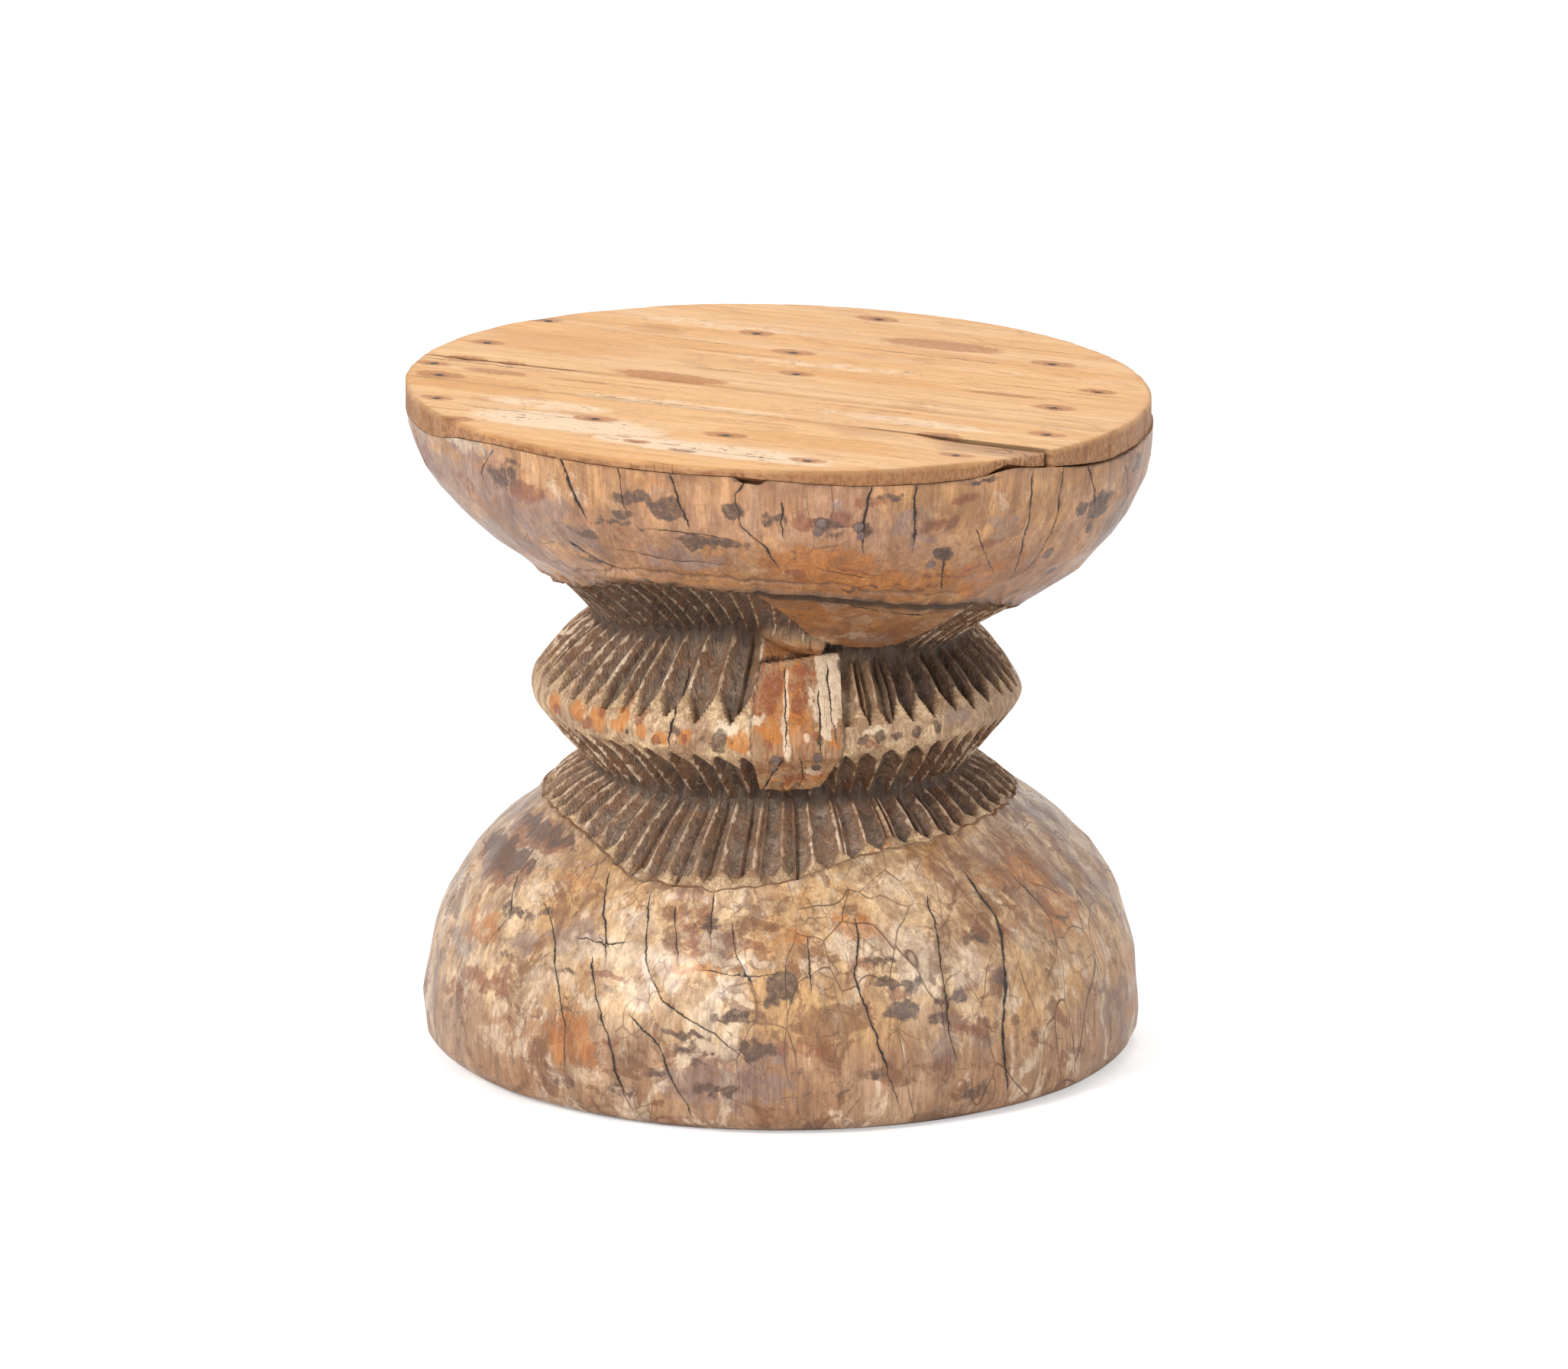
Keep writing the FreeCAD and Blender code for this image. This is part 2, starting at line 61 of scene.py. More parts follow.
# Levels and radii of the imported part, in mm.
TOP_LEVEL, BOARD_UNDERSIDE, RIM_TOP = 450.0, 432.0, 431.8
TOP_HALF, TOP_SPREAD = 248.75, 0.0472
MOUTH_RADIUS, MOUTH_LEVEL = 184, 383.6
CHAMBER_RADIUS, CHAMBER_LEVEL = 123, 339
THROAT_RADIUS, JOINT_RADIUS, BOWL_JOINT, WAIST_JOINT = 62, 100, 326, 325.6
FOOT_RADIUS, FOOT_LEVEL, SHOULDER_RADIUS = 186.6, 112, 152
WAIST_SHOULDER, FOOT_SHOULDER = 163, 162.6
BEYOND = 400.0
BOARD_TURN = 27
BOWL_ROWS, WAIST_ROWS, FOOT_ROWS = 62, (26, 26, 12, 24, 26), 86
SMALL_SIDES, FLOOR_SIDES = 12, 96
NAIL_HEAD_RADIUS, PEG_RADIUS = 3.2, 3.5

# The studio, in metres and watts: name, place, size, power.
LAMPS = (
    ("key_light", (-2.6, -3.0, 2.6), 1.7, 128.0), ("fill_light", (3.4, -2.4, 1.6), 2.2, 31.0),
    ("top_light", (0.3, 0.9, 3.4), 1.6, 28.0),
)
LAMP_AIM = (0, 0, 0.22)
CAMERA_PLACE, CAMERA_LENS = (0.0043, -8.773, 2.471), 311.57

# Shape of the log, read off the side outlines: level, half width, shift of its middle to the right.
BOWL = (
    (290, 121, 13), (301, 136, 15), (311, 149, 17), (323, 168, 18), (336, 185.9, 19.9),
    (349, 199.3, 17.3), (361, 213.5, 13.5), (374, 225, 10), (387, 233.9, 5.9),
    (399, 241, 4), (412, 245.2, 2.2), (424, 247.6, 0.8), (450, 248.3, 0.4),
)
DOME = (
    (-1, 222, 3), (0, 224, 3), (2, 230, 3), (5, 235, 2.8), (11, 238.6, 2.6), (24, 240, 2.4),
    (36, 240.3, 2), (52, 238.5, 2.5), (65, 236.6, 3), (77, 234, 2.8), (90, 230, 3),
    (102.5, 225, 3.4), (115, 218.4, 4), (128, 209.5, 3.6), (137, 201, 2.4), (147, 192.9, 2.2),
    (156, 182.5, 2.5), (162.5, 174, 3), (169, 164.6, 1.5), (176, 157, 0.5), (182, 150, 0),
)

# Levels that the carver let rise and fall round the log: azimuth, level. The front is 0, the right +90.
RIM_LIFT = (
    (-180, 3), (-90, 0), (-72, 0), (-62, 8), (-50, 12), (-19, 12), (-6, 12.5), (5, 9), (12, 7),
    (24, 6.5), (31, 7), (36, 12), (40, 8), (48, 4), (56, 0), (90, 0), (130, 3),
)
LIP = (
    (-180, 333), (-120, 332), (-90, 332.5), (-70, 333), (-50, 342), (-40, 352), (-31, 360),
    (-9, 360), (0, 358), (9, 353), (18, 347), (28, 342), (36, 340), (45, 333), (60, 318),
    (75, 307), (90, 304), (120, 308), (150, 325),
)
UPPER_NECK = (
    (-180, 298), (-90, 297), (-60, 299), (-40, 304), (-28, 309), (-15, 312), (-5, 309), (0, 301),
    (8, 294), (20, 292), (36, 290), (60, 287), (90, 286), (130, 292),
)
BELLY_TOP = ((-180, 257), (-90, 257), (-20, 257), (0, 256), (30, 254), (90, 248), (130, 254))
BELLY_BOTTOM = ((-180, 236), (-90, 238), (-40, 237), (0, 235), (40, 237), (90, 238), (130, 236))
LOWER_NECK = ((-180, 197), (-90, 198), (-40, 196), (0, 199), (40, 196), (90, 196))
SKIRT = (
    (-180, 166), (-110, 174), (-90, 176), (-60, 173), (-48, 167), (-40, 161), (-30, 153),
    (-13, 152), (0, 157), (9, 162), (18, 169), (36, 171), (60, 175), (90, 175), (110, 172),
    (145, 160),
)
TONGUE_EDGE = (
    (-7, 364), (-3, 351), (1, 338), (5, 325), (9, 313), (15, 306), (20, 303), (27, 301),
    (33, 303), (36, 309), (38, 318), (40, 345),
)
NECK_RADIUS = 124
BELLY_RADIUS = 161.5

# Ridges seen in the photograph's front, by azimuth, left and right of the panel, and the usual step between two.
FLUTES = {
    "under_bowl": ((-40, -36, -32, -28.5, -24.5, -21, -17, -13, -9.5, -5.5, -1.5, 2.5, 6.5), (), 4.6),
    "ring": ((-55.5, -49.5, -42.5, -38.5, -32.5, -24.9, -16.8, -7.8), (18.5, 23.5, 29.5, 35.5, 42.5, 49.5), 6.4),
    "ring_under": (
        (-51, -45, -38, -34, -27.5, -21, -16, -9.5, -4), (15, 20, 26, 33, 40, 46), 6.0
    ),
    "skirt": (
        (-47, -41, -35, -30, -25, -19, -13.5, -6, 0, 7, 14, 21, 28, 35, 42, 48), (), 6.8
    ),
}

# Splits in the log: width in mm, then points as (azimuth, level) pairs.
BOWL_CRACKS = (
    (1.9, (-37, 446), (-35, 425), (-33, 401)), (0.8, (-26, 446), (-25.4, 425), (-25, 405)),
    (0.9, (-17, 444), (-15.5, 424), (-14, 402)), (0.9, (0.4, 429), (0.2, 415), (0.4, 402)),
    (1.5, (13.9, 440), (12.4, 412), (11.9, 389)), (1.2, (20.5, 440), (20.4, 412), (20.2, 388)),
    (1.1, (25.6, 383), (25.3, 368), (25.6, 355)),
    (0.9, (39.6, 438), (39.6, 403), (40.5, 349)),
    (0.9, (45.5, 438), (45.5, 389), (44, 364), (38.7, 346)), (0.8, (51, 434), (55, 396)),
    (1.6, (43, 444), (50, 437), (59, 432), (69, 434), (75, 428)),
    (1.3, (-40, 384), (-36, 371), (-31, 366)),
    (0.9, (-4.2, 445), (-6.6, 432), (-6.1, 410), (-2.9, 396), (-1.1, 368)),
    (0.7, (62, 424), (66, 398), (63, 372)), (0.6, (-52, 441), (-56, 420), (-54, 404)),
    (0.6, (4, 380), (9, 372), (15, 369)), (0.6, (-22, 404), (-12, 403), (-6, 399)),
    (0.6, (-30, 384), (-18, 381), (-8, 381)), (0.5, (30, 404), (33, 380), (36, 362)),
)
WAIST_CRACKS = (
    (0.9, (1.6, 289), (2.0, 262), (1.4, 238)), (0.9, (10.3, 275), (10.0, 254), (10.4, 233)),
    (1.1, (1.2, 234), (-1.8, 222), (-4.6, 210)), (1.3, (-25.7, 290), (-25.0, 262), (-26.2, 234)),
    (1.0, (13.5, 288), (13.0, 262), (14.2, 241)), (0.6, (5.4, 236), (6.2, 222), (5.6, 211)),
    (0.9, (9, 352), (20, 341), (30, 334), (38, 337)),
)
FOOT_CRACKS = (
    (0.9, (-51, 133), (-45, 119), (-40, 86), (-37, 61), (-36, 28)),
    (0.9, (-38, 155), (-34, 126), (-31, 97)),
    (0.8, (-27, 151), (-24, 108), (-20, 86), (-11, 68), (-2, 40)),
    (0.7, (-21, 144), (-18, 106)), (0.8, (-13.5, 151), (-13, 119)),
    (0.7, (-9.5, 138), (-8, 115), (-3, 88)), (1.2, (-35, 108), (-29, 61), (-24, 4)),
    (0.9, (-25, 76), (-20, 58), (-13.5, 4)), (0.8, (4.5, 128), (4.8, 92)),
    (1.0, (14.4, 139), (12, 104), (15, 68), (20, 4)),
    (1.1, (29.7, 146), (28, 104), (28, 61), (30, 30)),
    (1.8, (40.5, 157), (42, 126), (39.6, 86), (38, 54), (39, 3)),
    (0.7, (-62, 140), (-57, 118), (-60, 92)), (0.7, (52, 150), (55, 118), (52, 84)),
    (0.6, (-40, 118), (-33, 116), (-27, 121)), (0.6, (-14, 107), (-6, 104), (0, 106)),
)

# Patches of colour by kind: azimuth, level, half width in degrees, half height in mm, strength.
BOWL_PATCHES = {
    "dark": (
        (-18, 419, 3.4, 7, 1.2), (-12, 398, 5.6, 4.4, 1.2), (-24, 424, 3.4, 5, 0.8), (-50, 424, 3, 9, 0.7),
        (-48, 434, 3, 3, 0.6), (55.5, 398, 2.6, 7, 1.0), (-28, 404, 5, 2.4, 0.7), (-34, 392, 4, 3, 0.6),
        (0, 390, 2, 5, 0.5), (8, 408, 1.4, 6, 0.6), (55.5, 404, 2.8, 8, 0.9), (-7, 420, 1.6, 6, 0.8),
        # The dark patch at azimuth -4, level 445 is painted shade in the gap under the boards.
        (-1, 416, 1.6, 5, 0.7), (-4, 445, 2.6, 3.5, 1.0), (51, 403, 1.3, 5, 1.0), (55.6, 384.5, 1.2, 4, 0.9),
        (47, 372, 1.4, 5, 0.9), (52, 352, 2.0, 4, 0.8), (-26, 412, 2.0, 5, 0.6), (17, 431, 3.0, 3.5, 0.7),
        (31, 436, 4.0, 3.0, 0.7), (68, 418, 3.0, 7, 0.8), (-36, 372, 3.0, 3.5, 0.7), (44, 339, 3.0, 3.5, 0.7),
        (14, 361, 12, 1.4, 0.6),
    ),
    "warm": (
        (5, 384, 8, 11, 1.3), (12, 366, 10, 8, 1.2), (30, 368, 9, 7, 1.1), (-2, 384, 3, 10, 0.7),
        (33, 352, 6, 6, 0.7), (-20, 436, 5, 6, 0.5), (16, 347, 9, 6, 0.6), (-32, 412, 4, 14, 0.4),
        (-75, 438, 9, 5, 0.6),
    ),
    "pale": (
        (-36, 425, 5, 12, 0.45), (34, 420, 4, 12, 0.4), (-22, 392, 4, 6, 0.3), (8, 424, 5, 9, 0.3),
        (-62, 440, 9, 7, 0.8), (56, 415, 5, 12, 0.4), (-30, 430, 3, 8, 0.3), (20, 345, 8, 6, 0.5),
    ),
    "cool": (
        (-40, 408, 5, 10, 0.8), (-18, 382, 9, 8, 0.7), (8, 418, 3, 12, 0.6), (-54, 415, 11, 13, 1.0),
        (-40, 388, 8, 10, 0.8), (-62, 372, 12, 14, 0.8), (-75, 400, 14, 30, 0.8), (-47, 402, 9, 22, 0.7),
        (-58, 434, 10, 10, 0.6), (21, 408, 4.5, 20, 0.6), (35, 402, 4.0, 16, 0.6), (66, 372, 8, 22, 0.7),
        (84, 395, 10, 28, 0.6), (60, 335, 8, 12, 0.7),
    ),
    "red": (
        (-62, 410, 4, 8, 0.6), (-45, 416, 4, 9, 0.9), (3, 414, 3, 6, 0.7), (24, 410, 3, 7, 0.7),
        (14, 428, 3, 6, 0.6), (29, 426, 3, 5, 0.6), (5, 402, 4, 4, 0.5), (34, 390, 4, 4, 0.6), (9, 416, 2.6, 9, 0.6),
        (33, 372, 2.4, 6, 0.5), (-28, 396, 3, 10, 0.45), (26, 368, 6, 2.0, 0.8), (1, 372, 2.5, 8, 0.6),
        (12, 374, 6, 2.0, 0.7), (20, 358, 7, 2.2, 0.7), (-50, 360, 9, 4, 0.5), (-44, 430, 2.5, 8, 0.4),
        (23, 361, 3, 4, 0.6),
    ),
}
WAIST_PATCHES = {
    "dark": (
        (3.4, 226, 3.0, 3, 0.5), (-24, 252, 1.2, 4, 0.8), (-37, 244, 1.2, 3, 0.7), (-0.5, 234, 1.5, 3, 1.0),
        (9.0, 235, 1.0, 2.6, 1.0), (9.9, 247, 0.8, 3.5, 1.0), (-13.5, 246, 2.8, 8, 0.9), (-17.6, 247, 1.1, 4, 0.7),
        (20.4, 246, 1.6, 3, 1.0), (24.2, 246, 1.8, 3, 1.0), (28.4, 246, 2.0, 3, 1.0), (34.5, 247, 1.8, 4, 1.0),
        (40, 248, 1.8, 4, 0.9), (2, 212, 7, 3, 0.7), (18.5, 284, 1.6, 4, 0.8), (23, 324, 8, 1.6, 0.6),
        (8, 338, 7, 1.6, 0.5), (12, 304, 10, 2, 0.7),
    ),
    "warm": (
        (1.0, 274, 6.5, 17, 1.2), (-1.0, 257, 3.6, 14, 0.9), (5.6, 254, 3.6, 13, 0.9), (12.6, 244, 2.6, 5, 0.5),
        (-9.0, 247, 2.6, 7, 1.0), (3, 214, 8, 6, 0.7), (9, 222, 4, 5, 0.6), (-22, 247, 1.7, 5, 1.0),
        (-28, 246, 1.6, 6, 0.9), (-33, 249, 1.8, 6, 1.0), (-39, 252, 2.0, 8, 1.0), (-46, 249, 2.4, 9, 1.0),
        (-54, 252, 3.0, 8, 0.9), (-64, 250, 3.0, 9, 0.8), (-42, 272, 1.4, 8, 0.6), (4, 300, 8, 6, 1.0),
        (-4, 342, 3.0, 9, 0.8), (5, 340, 8, 5, 1.0), (18, 328, 9, 4, 0.7), (10, 330, 7, 5, 0.8),
        (-20, 170, 7, 5, 0.5), (27, 172, 7, 4, 0.5),
    ),
    "pale": (
        (1.8, 246, 0.9, 14, 0.8), (11.0, 268, 1.6, 16, 1.0), (8.5, 226, 2.4, 6, 0.5), (-1.5, 229, 2.0, 5, 0.4),
        (2.2, 266, 0.9, 20, 1.0), (13.8, 277, 4.2, 18, 1.6), (11.5, 262, 1.4, 14, 0.8), (-4.5, 260, 2.5, 3, 0.9),
        (7.2, 249, 1.3, 4, 1.0), (-12, 254, 3.0, 6, 0.8), (18, 316, 9, 6, 0.5), (-50, 176, 8, 8, 0.8),
        (-30, 160, 9, 6, 0.5), (24, 250, 5, 3, 0.5),
    ),
    "cool": (
        (27, 243, 3, 3, 0.5), (46, 252, 6, 6, 0.7), (24, 312, 8, 6, 0.6),
    ),
    "red": (
        (-2.8, 276, 3.0, 15, 1.2), (7.0, 279, 1.5, 12, 1.1), (5.0, 268, 1.2, 6, 1.0), (9.5, 286, 2.2, 5, 0.5),
        (4.0, 219, 6.0, 5, 0.6), (-3.0, 246, 1.5, 4, 0.7), (8.0, 252, 1.6, 5, 0.6), (-50, 246, 2, 5, 0.9),
        (-34, 256, 1.6, 4, 0.9), (-45, 256, 1.4, 5, 0.8), (-62, 246, 2.4, 5, 0.8), (-38, 266, 1.2, 8, 0.6),
        (-22, 245, 0.8, 3, 0.9), (-29, 244, 0.9, 4, 0.9), (22, 242, 3, 3, 0.7), (36, 243, 3, 3, 0.6),
        (13, 322, 6, 4, 0.7), (27, 317, 5, 3, 0.7), (-12, 349, 1.8, 4, 0.8), (16, 176, 3, 4, 0.5),
    ),
}
FOOT_PATCHES = {
    "dark": (
        (-71, 145, 12, 6.5, 1.5), (-66, 163, 12, 4, 1.4), (0, 97, 2.3, 9, 1.25), (-2.2, 89, 1.4, 4, 1.0),
        (-7.7, 79, 2.8, 4.6, 1.15), (-4.5, 58, 2.6, 7, 1.0), (19, 97, 4.2, 3.2, 1.0), (20, 80, 3.6, 6, 0.9),
        (30, 84, 2.0, 5, 0.9), (-16, 66, 5, 3, 0.8), (-10, 30, 6, 6, 0.6), (-36, 24, 3, 6, 0.6),
        (17, 112, 2.6, 4, 0.7), (22, 93, 1.6, 3.5, 0.6), (-14, 134, 3, 4, 0.7), (36, 118, 3, 5, 0.8),
        (-48, 126, 3, 3, 0.7), (27, 83, 2.4, 2.5, 0.6), (-20, 40, 3, 4, 0.6), (14, 40, 2.6, 5, 0.6),
        (44, 50, 2.6, 4, 0.5), (-46, 70, 3, 3, 0.5), (-54, 96, 3, 3, 0.6), (-40, 96, 3, 2.4, 0.6),
        (-14, 48, 3, 3, 0.6), (2, 44, 2.4, 4, 0.5), (25.7, 72, 1.8, 5, 0.8), (38.7, 92, 2.0, 6, 0.9),
        (-15, 57, 4, 5, 0.6), (-57, 122, 6, 4, 0.7), (-26, 24, 3, 8, 0.6), (33, 20, 4, 6, 0.5), (8, 30, 4, 5, 0.5),
        (58, 116, 4, 3, 0.6), (66, 132, 5, 3, 0.6), (50, 136, 4, 3, 0.6),
    ),
    "warm": (
        (-63, 104, 9, 12, 0.6), (60, 118, 9, 16, 0.6), (13.5, 133, 5, 8, 0.8), (-36, 54, 5, 20, 0.9),
        (56, 144, 14, 15, 0.7), (-14, 105, 7, 2.5, 0.9), (-44, 148, 9, 6, 0.5), (2, 128, 5, 7, 0.6),
    ),
    # Near azimuth 15 to 23 and level 108 to 124 the pale patches are a painted highlight; the others are chalky wood.
    "pale": (
        (-60, 151, 11, 4, 1.0), (15, 124, 8, 9, 1.2), (23, 108, 3, 16, 1.2), (-30, 112, 12, 8, 0.9),
        (-8, 112, 9, 4, 0.9), (-50, 40, 9, 14, 0.55), (-34, 30, 5, 10, 0.5), (48, 112, 6, 10, 0.6),
        (56, 88, 7, 10, 0.5), (21.6, 119, 4.5, 14, 1.0), (-27, 134, 4, 12, 0.6), (6, 108, 3, 14, 0.6),
        (-45, 88, 10, 14, 0.5), (33, 104, 4, 20, 0.7), (-12, 128, 3, 10, 0.6),
    ),
    "cool": (
        (-4.5, 54, 7, 14, 0.6), (-9, 36, 14, 20, 0.7), (-68, 92, 6, 14, 0.8), (-39, 116, 7, 11, 0.7),
        (-13, 122, 6, 12, 0.7), (-52, 106, 8, 9, 0.6), (30, 58, 9, 22, 0.5), (46, 112, 4, 16, 0.5),
        (-30, 96, 4, 12, 0.4),
    ),
    "red": (
        (-69, 161, 13, 7, 1.4), (-71, 142, 12, 9, 1.4), (33, 62, 4, 8, 0.6), (3, 60, 7, 6, 0.5),
        (19, 92, 2.0, 5, 0.9), (14, 110, 3.0, 4, 0.8), (-30, 98, 6, 2.4, 0.8), (-17, 118, 3, 9, 0.8),
        (-40, 62, 5, 6, 0.5), (-52, 84, 6, 7, 0.6), (-24, 20, 6, 7, 0.5), (26, 40, 7, 8, 0.4), (-58, 74, 8, 8, 0.7),
        (-66, 60, 6, 8, 0.6), (-28, 56, 5, 4, 0.6), (-5, 122, 4, 4, 0.6), (-18, 136, 3.5, 9, 0.7),
        (-9, 127, 3, 6, 0.6), (9, 40, 9, 12, 0.3),
    ),
}
PATCH_KINDS = ("dark", "warm", "pale", "cool", "red")

# On the top, in mm from its middle, x to the right and y to the back. Patches by kind: x, y, half sizes along
# and across the boards, strength.
BOARD_PATCHES = {
    "dark": (
        (-100, -150, 9, 2.2, 0.7), (-120, -128, 7, 2, 0.7), (-70, -172, 12, 2, 0.8), (-30, -178, 8, 1.6, 0.6),
        (-62, -191, 12, 5, 0.8),
    ),
    "warm": (
        (-140, 120, 70, 30, 0.8), (20, -160, 90, 22, 0.6), (-200, 0, 50, 22, 0.9), (60, 20, 90, 14, 0.7),
        (190, 30, 40, 40, 0.5),
    ),
    # The two strongest pale patches, at the front left, paint the top's sheen there; the others are chalky streaks.
    "pale": (
        (-140, -110, 70, 22, 1.0), (-40, -190, 90, 16, 1.0), (30, 60, 110, 12, 0.5), (-60, -60, 130, 12, 0.5),
        (90, -110, 90, 14, 0.55), (-150, -60, 60, 18, 0.6), (-40, 180, 110, 16, 0.45),
    ),
    "red": (
        (110, 118, 44, 13, 1.0), (-72, 22, 42, 11, 1.0), (150, -30, 40, 5, 0.7), (-190, 40, 30, 8, 0.7),
        (-120, 5, 60, 4, 0.6), (60, -70, 50, 5, 0.5), (-20, 90, 70, 5, 0.5),
    ),
}
# Dark marks on the top: x, y, radius.
SPOTS = (
    (-160, 197, 6), (-195, 127, 5), (-208, 79, 6), (-231, 65, 5), (-225, 31, 7), (-225, -39, 5),
    (-214, -99, 6), (-177, 65, 4), (-120, -99, 6), (-92, -165, 4), (-14, 155, 5), (11, 97, 6),
    (13, 33, 5), (68, 199, 6), (-34, -145, 6), (183, 63, 6), (212, -21, 5), (182, -68, 6),
    (176, -143, 5), (106, -148, 6), (116, -200, 5), (20, -217, 5),
)
# Lines in the boards: width, then points as (x, y) pairs.
BOARD_CRACKS = (
    (1.0, (-240, 84), (-190, 60), (-135, 32)), (0.7, (150, 60), (95, 88), (40, 117)),
    (0.6, (-210, -60), (-150, -91), (-96, -118)), (0.6, (225, -40), (160, -8), (120, 12)),
    (0.5, (-30, 120), (-95, 153), (-150, 182)), (0.6, (-60, -185), (-10, -209), (20, -224)),
    (0.5, (30, 10), (-40, 46), (-88, 70)), (0.5, (110, -60), (60, -34), (10, -8)),
    (0.5, (200, 90), (150, 116), (120, 131)), (0.5, (-120, -30), (-60, -61), (-10, -86)),
)


# ---------------------------------------------------------------- shapes in numpy
def around(table, softness=1.2, shift=None):
    """One value for each column from (azimuth, value) pairs, joined smoothly right round."""
    azimuths, values = zip(*table)
    step = FULL_TURN / COLUMNS
    line = np.interp(AZ if shift is None else AZ + shift, azimuths, values, period=FULL_TURN)
    offsets = np.arange(-int(3 * softness / step), int(3 * softness / step) + 1)
    weights = np.exp(-0.5 * (offsets * step / softness) ** 2)
    return sum(w * np.roll(line, o) for o, w in zip(offsets, weights / weights.sum()))


def lookup(level, table, column):
    """A column of a level table, read at these levels."""
    levels = [row[0] for row in table]
    return np.interp(level, levels, [row[column] for row in table])


def smooth(value, low, high):
    """Runs from 0 to 1 as value goes from low to high."""
    share = np.clip((value - low) / (high - low), 0, 1)
    return share * share * (3 - 2 * share)


def window(value, low, high, end, last):
    """Runs up to 1 between low and high, and down to 0 again from last to end."""
    return smooth(value, low, high) * smooth(value, end, last)


def wrapped(azimuth):
    """Azimuth between -180 and 180."""
    return (azimuth + 180.0) % FULL_TURN - 180.0


def circle(sides):
    """Points round a circle of radius 1."""
    turn = np.arange(sides) * 2 * math.pi / sides
    return np.stack([np.cos(turn), np.sin(turn)], 1)


def bearing(points):
    """Azimuth of each point."""
    return np.degrees(np.arctan2(points[..., 0], -points[..., 1]))


def oval(half, spread, azimuth):
    """Radius of the top's oval, whose long axis lies front right to back left."""
    long_half, short_half = half * (1 + spread), half * (1 - spread)
    turn = (azimuth - 45) * DEG
    reach = np.sqrt((short_half * np.cos(turn)) ** 2 + (long_half * np.sin(turn)) ** 2)
    return long_half * short_half / reach


def place(radius, middle, azimuth, level):
    """Points in mm from a radius about a middle that is shifted to the right."""
    radius, middle, azimuth, level = np.broadcast_arrays(radius, middle, azimuth, level)
    x = middle + radius * np.sin(azimuth * DEG)
    y = -radius * np.cos(azimuth * DEG)
    return np.stack([x, y, level], -1)


def waves(azimuth, level, seed, count, finest, height):
    """Slow lumps of about -1 to 1 that close up after a full turn."""
    draw = np.random.default_rng(seed)
    total = 0
    for _ in range(count):
        turns = draw.integers(1, finest + 1)
        rise = draw.uniform(-1, 1) / height
        total = total + draw.uniform(0.5, 1) * np.cos(
            turns * azimuth * DEG + 2 * math.pi * (rise * level + draw.uniform(0, 1))
        )
    return total / math.sqrt(count)


def bowl_surface(level, azimuth):
    """Radius and middle of the bowl's outside."""
    spread = np.interp(level, (330, 430), (0.012, 0.0472))
    return oval(lookup(level, BOWL, 1), spread, azimuth), lookup(level, BOWL, 2)


def ridges(name, seed):
    """Columns where a band's ridges stand, from those seen in the photograph and a usual step."""
    left, right, step = FLUTES[name]
    draw = np.random.default_rng(seed)
    seen = sorted(left + right)
    found = list(seen)
    for start, end in zip(seen, seen[1:] + [seen[0] + FULL_TURN]):
        if end - start > 1.7 * step:
            count = max(1, round((end - start) / step))
            widths = draw.uniform(0.82, 1.18, count)
            widths *= (end - start) / widths.sum()
            found += list(start + np.cumsum(widths)[:-1])
    columns = np.round((np.array(found) + 180.0) * COLUMNS / FULL_TURN).astype(int) % COLUMNS
    return np.unique(columns)


def flute_places(name, seed):
    """For each column: its share of the way between two ridges, its flute's depth, and threads left standing."""
    stands = ridges(name, seed)
    draw = np.random.default_rng(seed + 1)
    ends = np.append(stands[1:], stands[0] + COLUMNS)
    share, depth, thread = np.zeros(COLUMNS), np.zeros(COLUMNS), np.zeros(COLUMNS)
    for start, end in zip(stands, ends):
        run = np.arange(start, end)
        share[run % COLUMNS] = (run - start) / (end - start)
        depth[run % COLUMNS] = draw.uniform(0.72, 1.15)
        if end - start > 8 and draw.uniform() < {"skirt": 0.8, "ring": 0.45}.get(name, 0.0):
            thread[(start + draw.integers(3, end - start - 2)) % COLUMNS] = draw.uniform(0.78, 0.95)
    return share, depth, thread


def line_map(x, y, lines):
    """Signed distance in mm to the nearest split, and the width that it has there."""
    side = np.full(x.shape, 12.0)
    width = np.zeros(x.shape)
    nearest = np.full(x.shape, 12.0)
    for wide, *points in lines:
        points = np.array(points, float)
        runs = np.linalg.norm(np.diff(points, axis=0), axis=1)
        length, gone = runs.sum(), 0.0
        for start, end, run in zip(points, points[1:], runs):
            dx, dy = end - start
            along = np.clip(((x - start[0]) * dx + (y - start[1]) * dy) / (run * run), 0, 1)
            off_x, off_y = x - start[0] - along * dx, y - start[1] - along * dy
            distance = np.hypot(off_x, off_y)
            sign = np.where(dx * off_y - dy * off_x < 0, -1.0, 1.0)
            share = (gone + along * run) / length
            near = distance < nearest
            taper = np.minimum(1, np.minimum(share * 14 + 0.12, (1 - share) * 3.0))
            nearest = np.where(near, distance, nearest)
            side = np.where(near, distance * sign, side)
            width = np.where(near, wide * taper * smooth(distance, 5.5, 3.0), width)
            gone += run
    return side, width


def lift_value(values, name, least):
    """Raises a value wherever it is lower than this."""
    values[name] = np.maximum(values[name], least)


def trench(side, width, widest, reach):
    """How deep the surface sinks along its splits."""
    return np.clip(width, 0, widest) * np.clip(1 - np.abs(side) / reach, 0, 1)


def listed(patches):
    """A patch table as one list of rows that start with their kind."""
    return [(kind, *row) for kind, rows in patches.items() for row in rows]


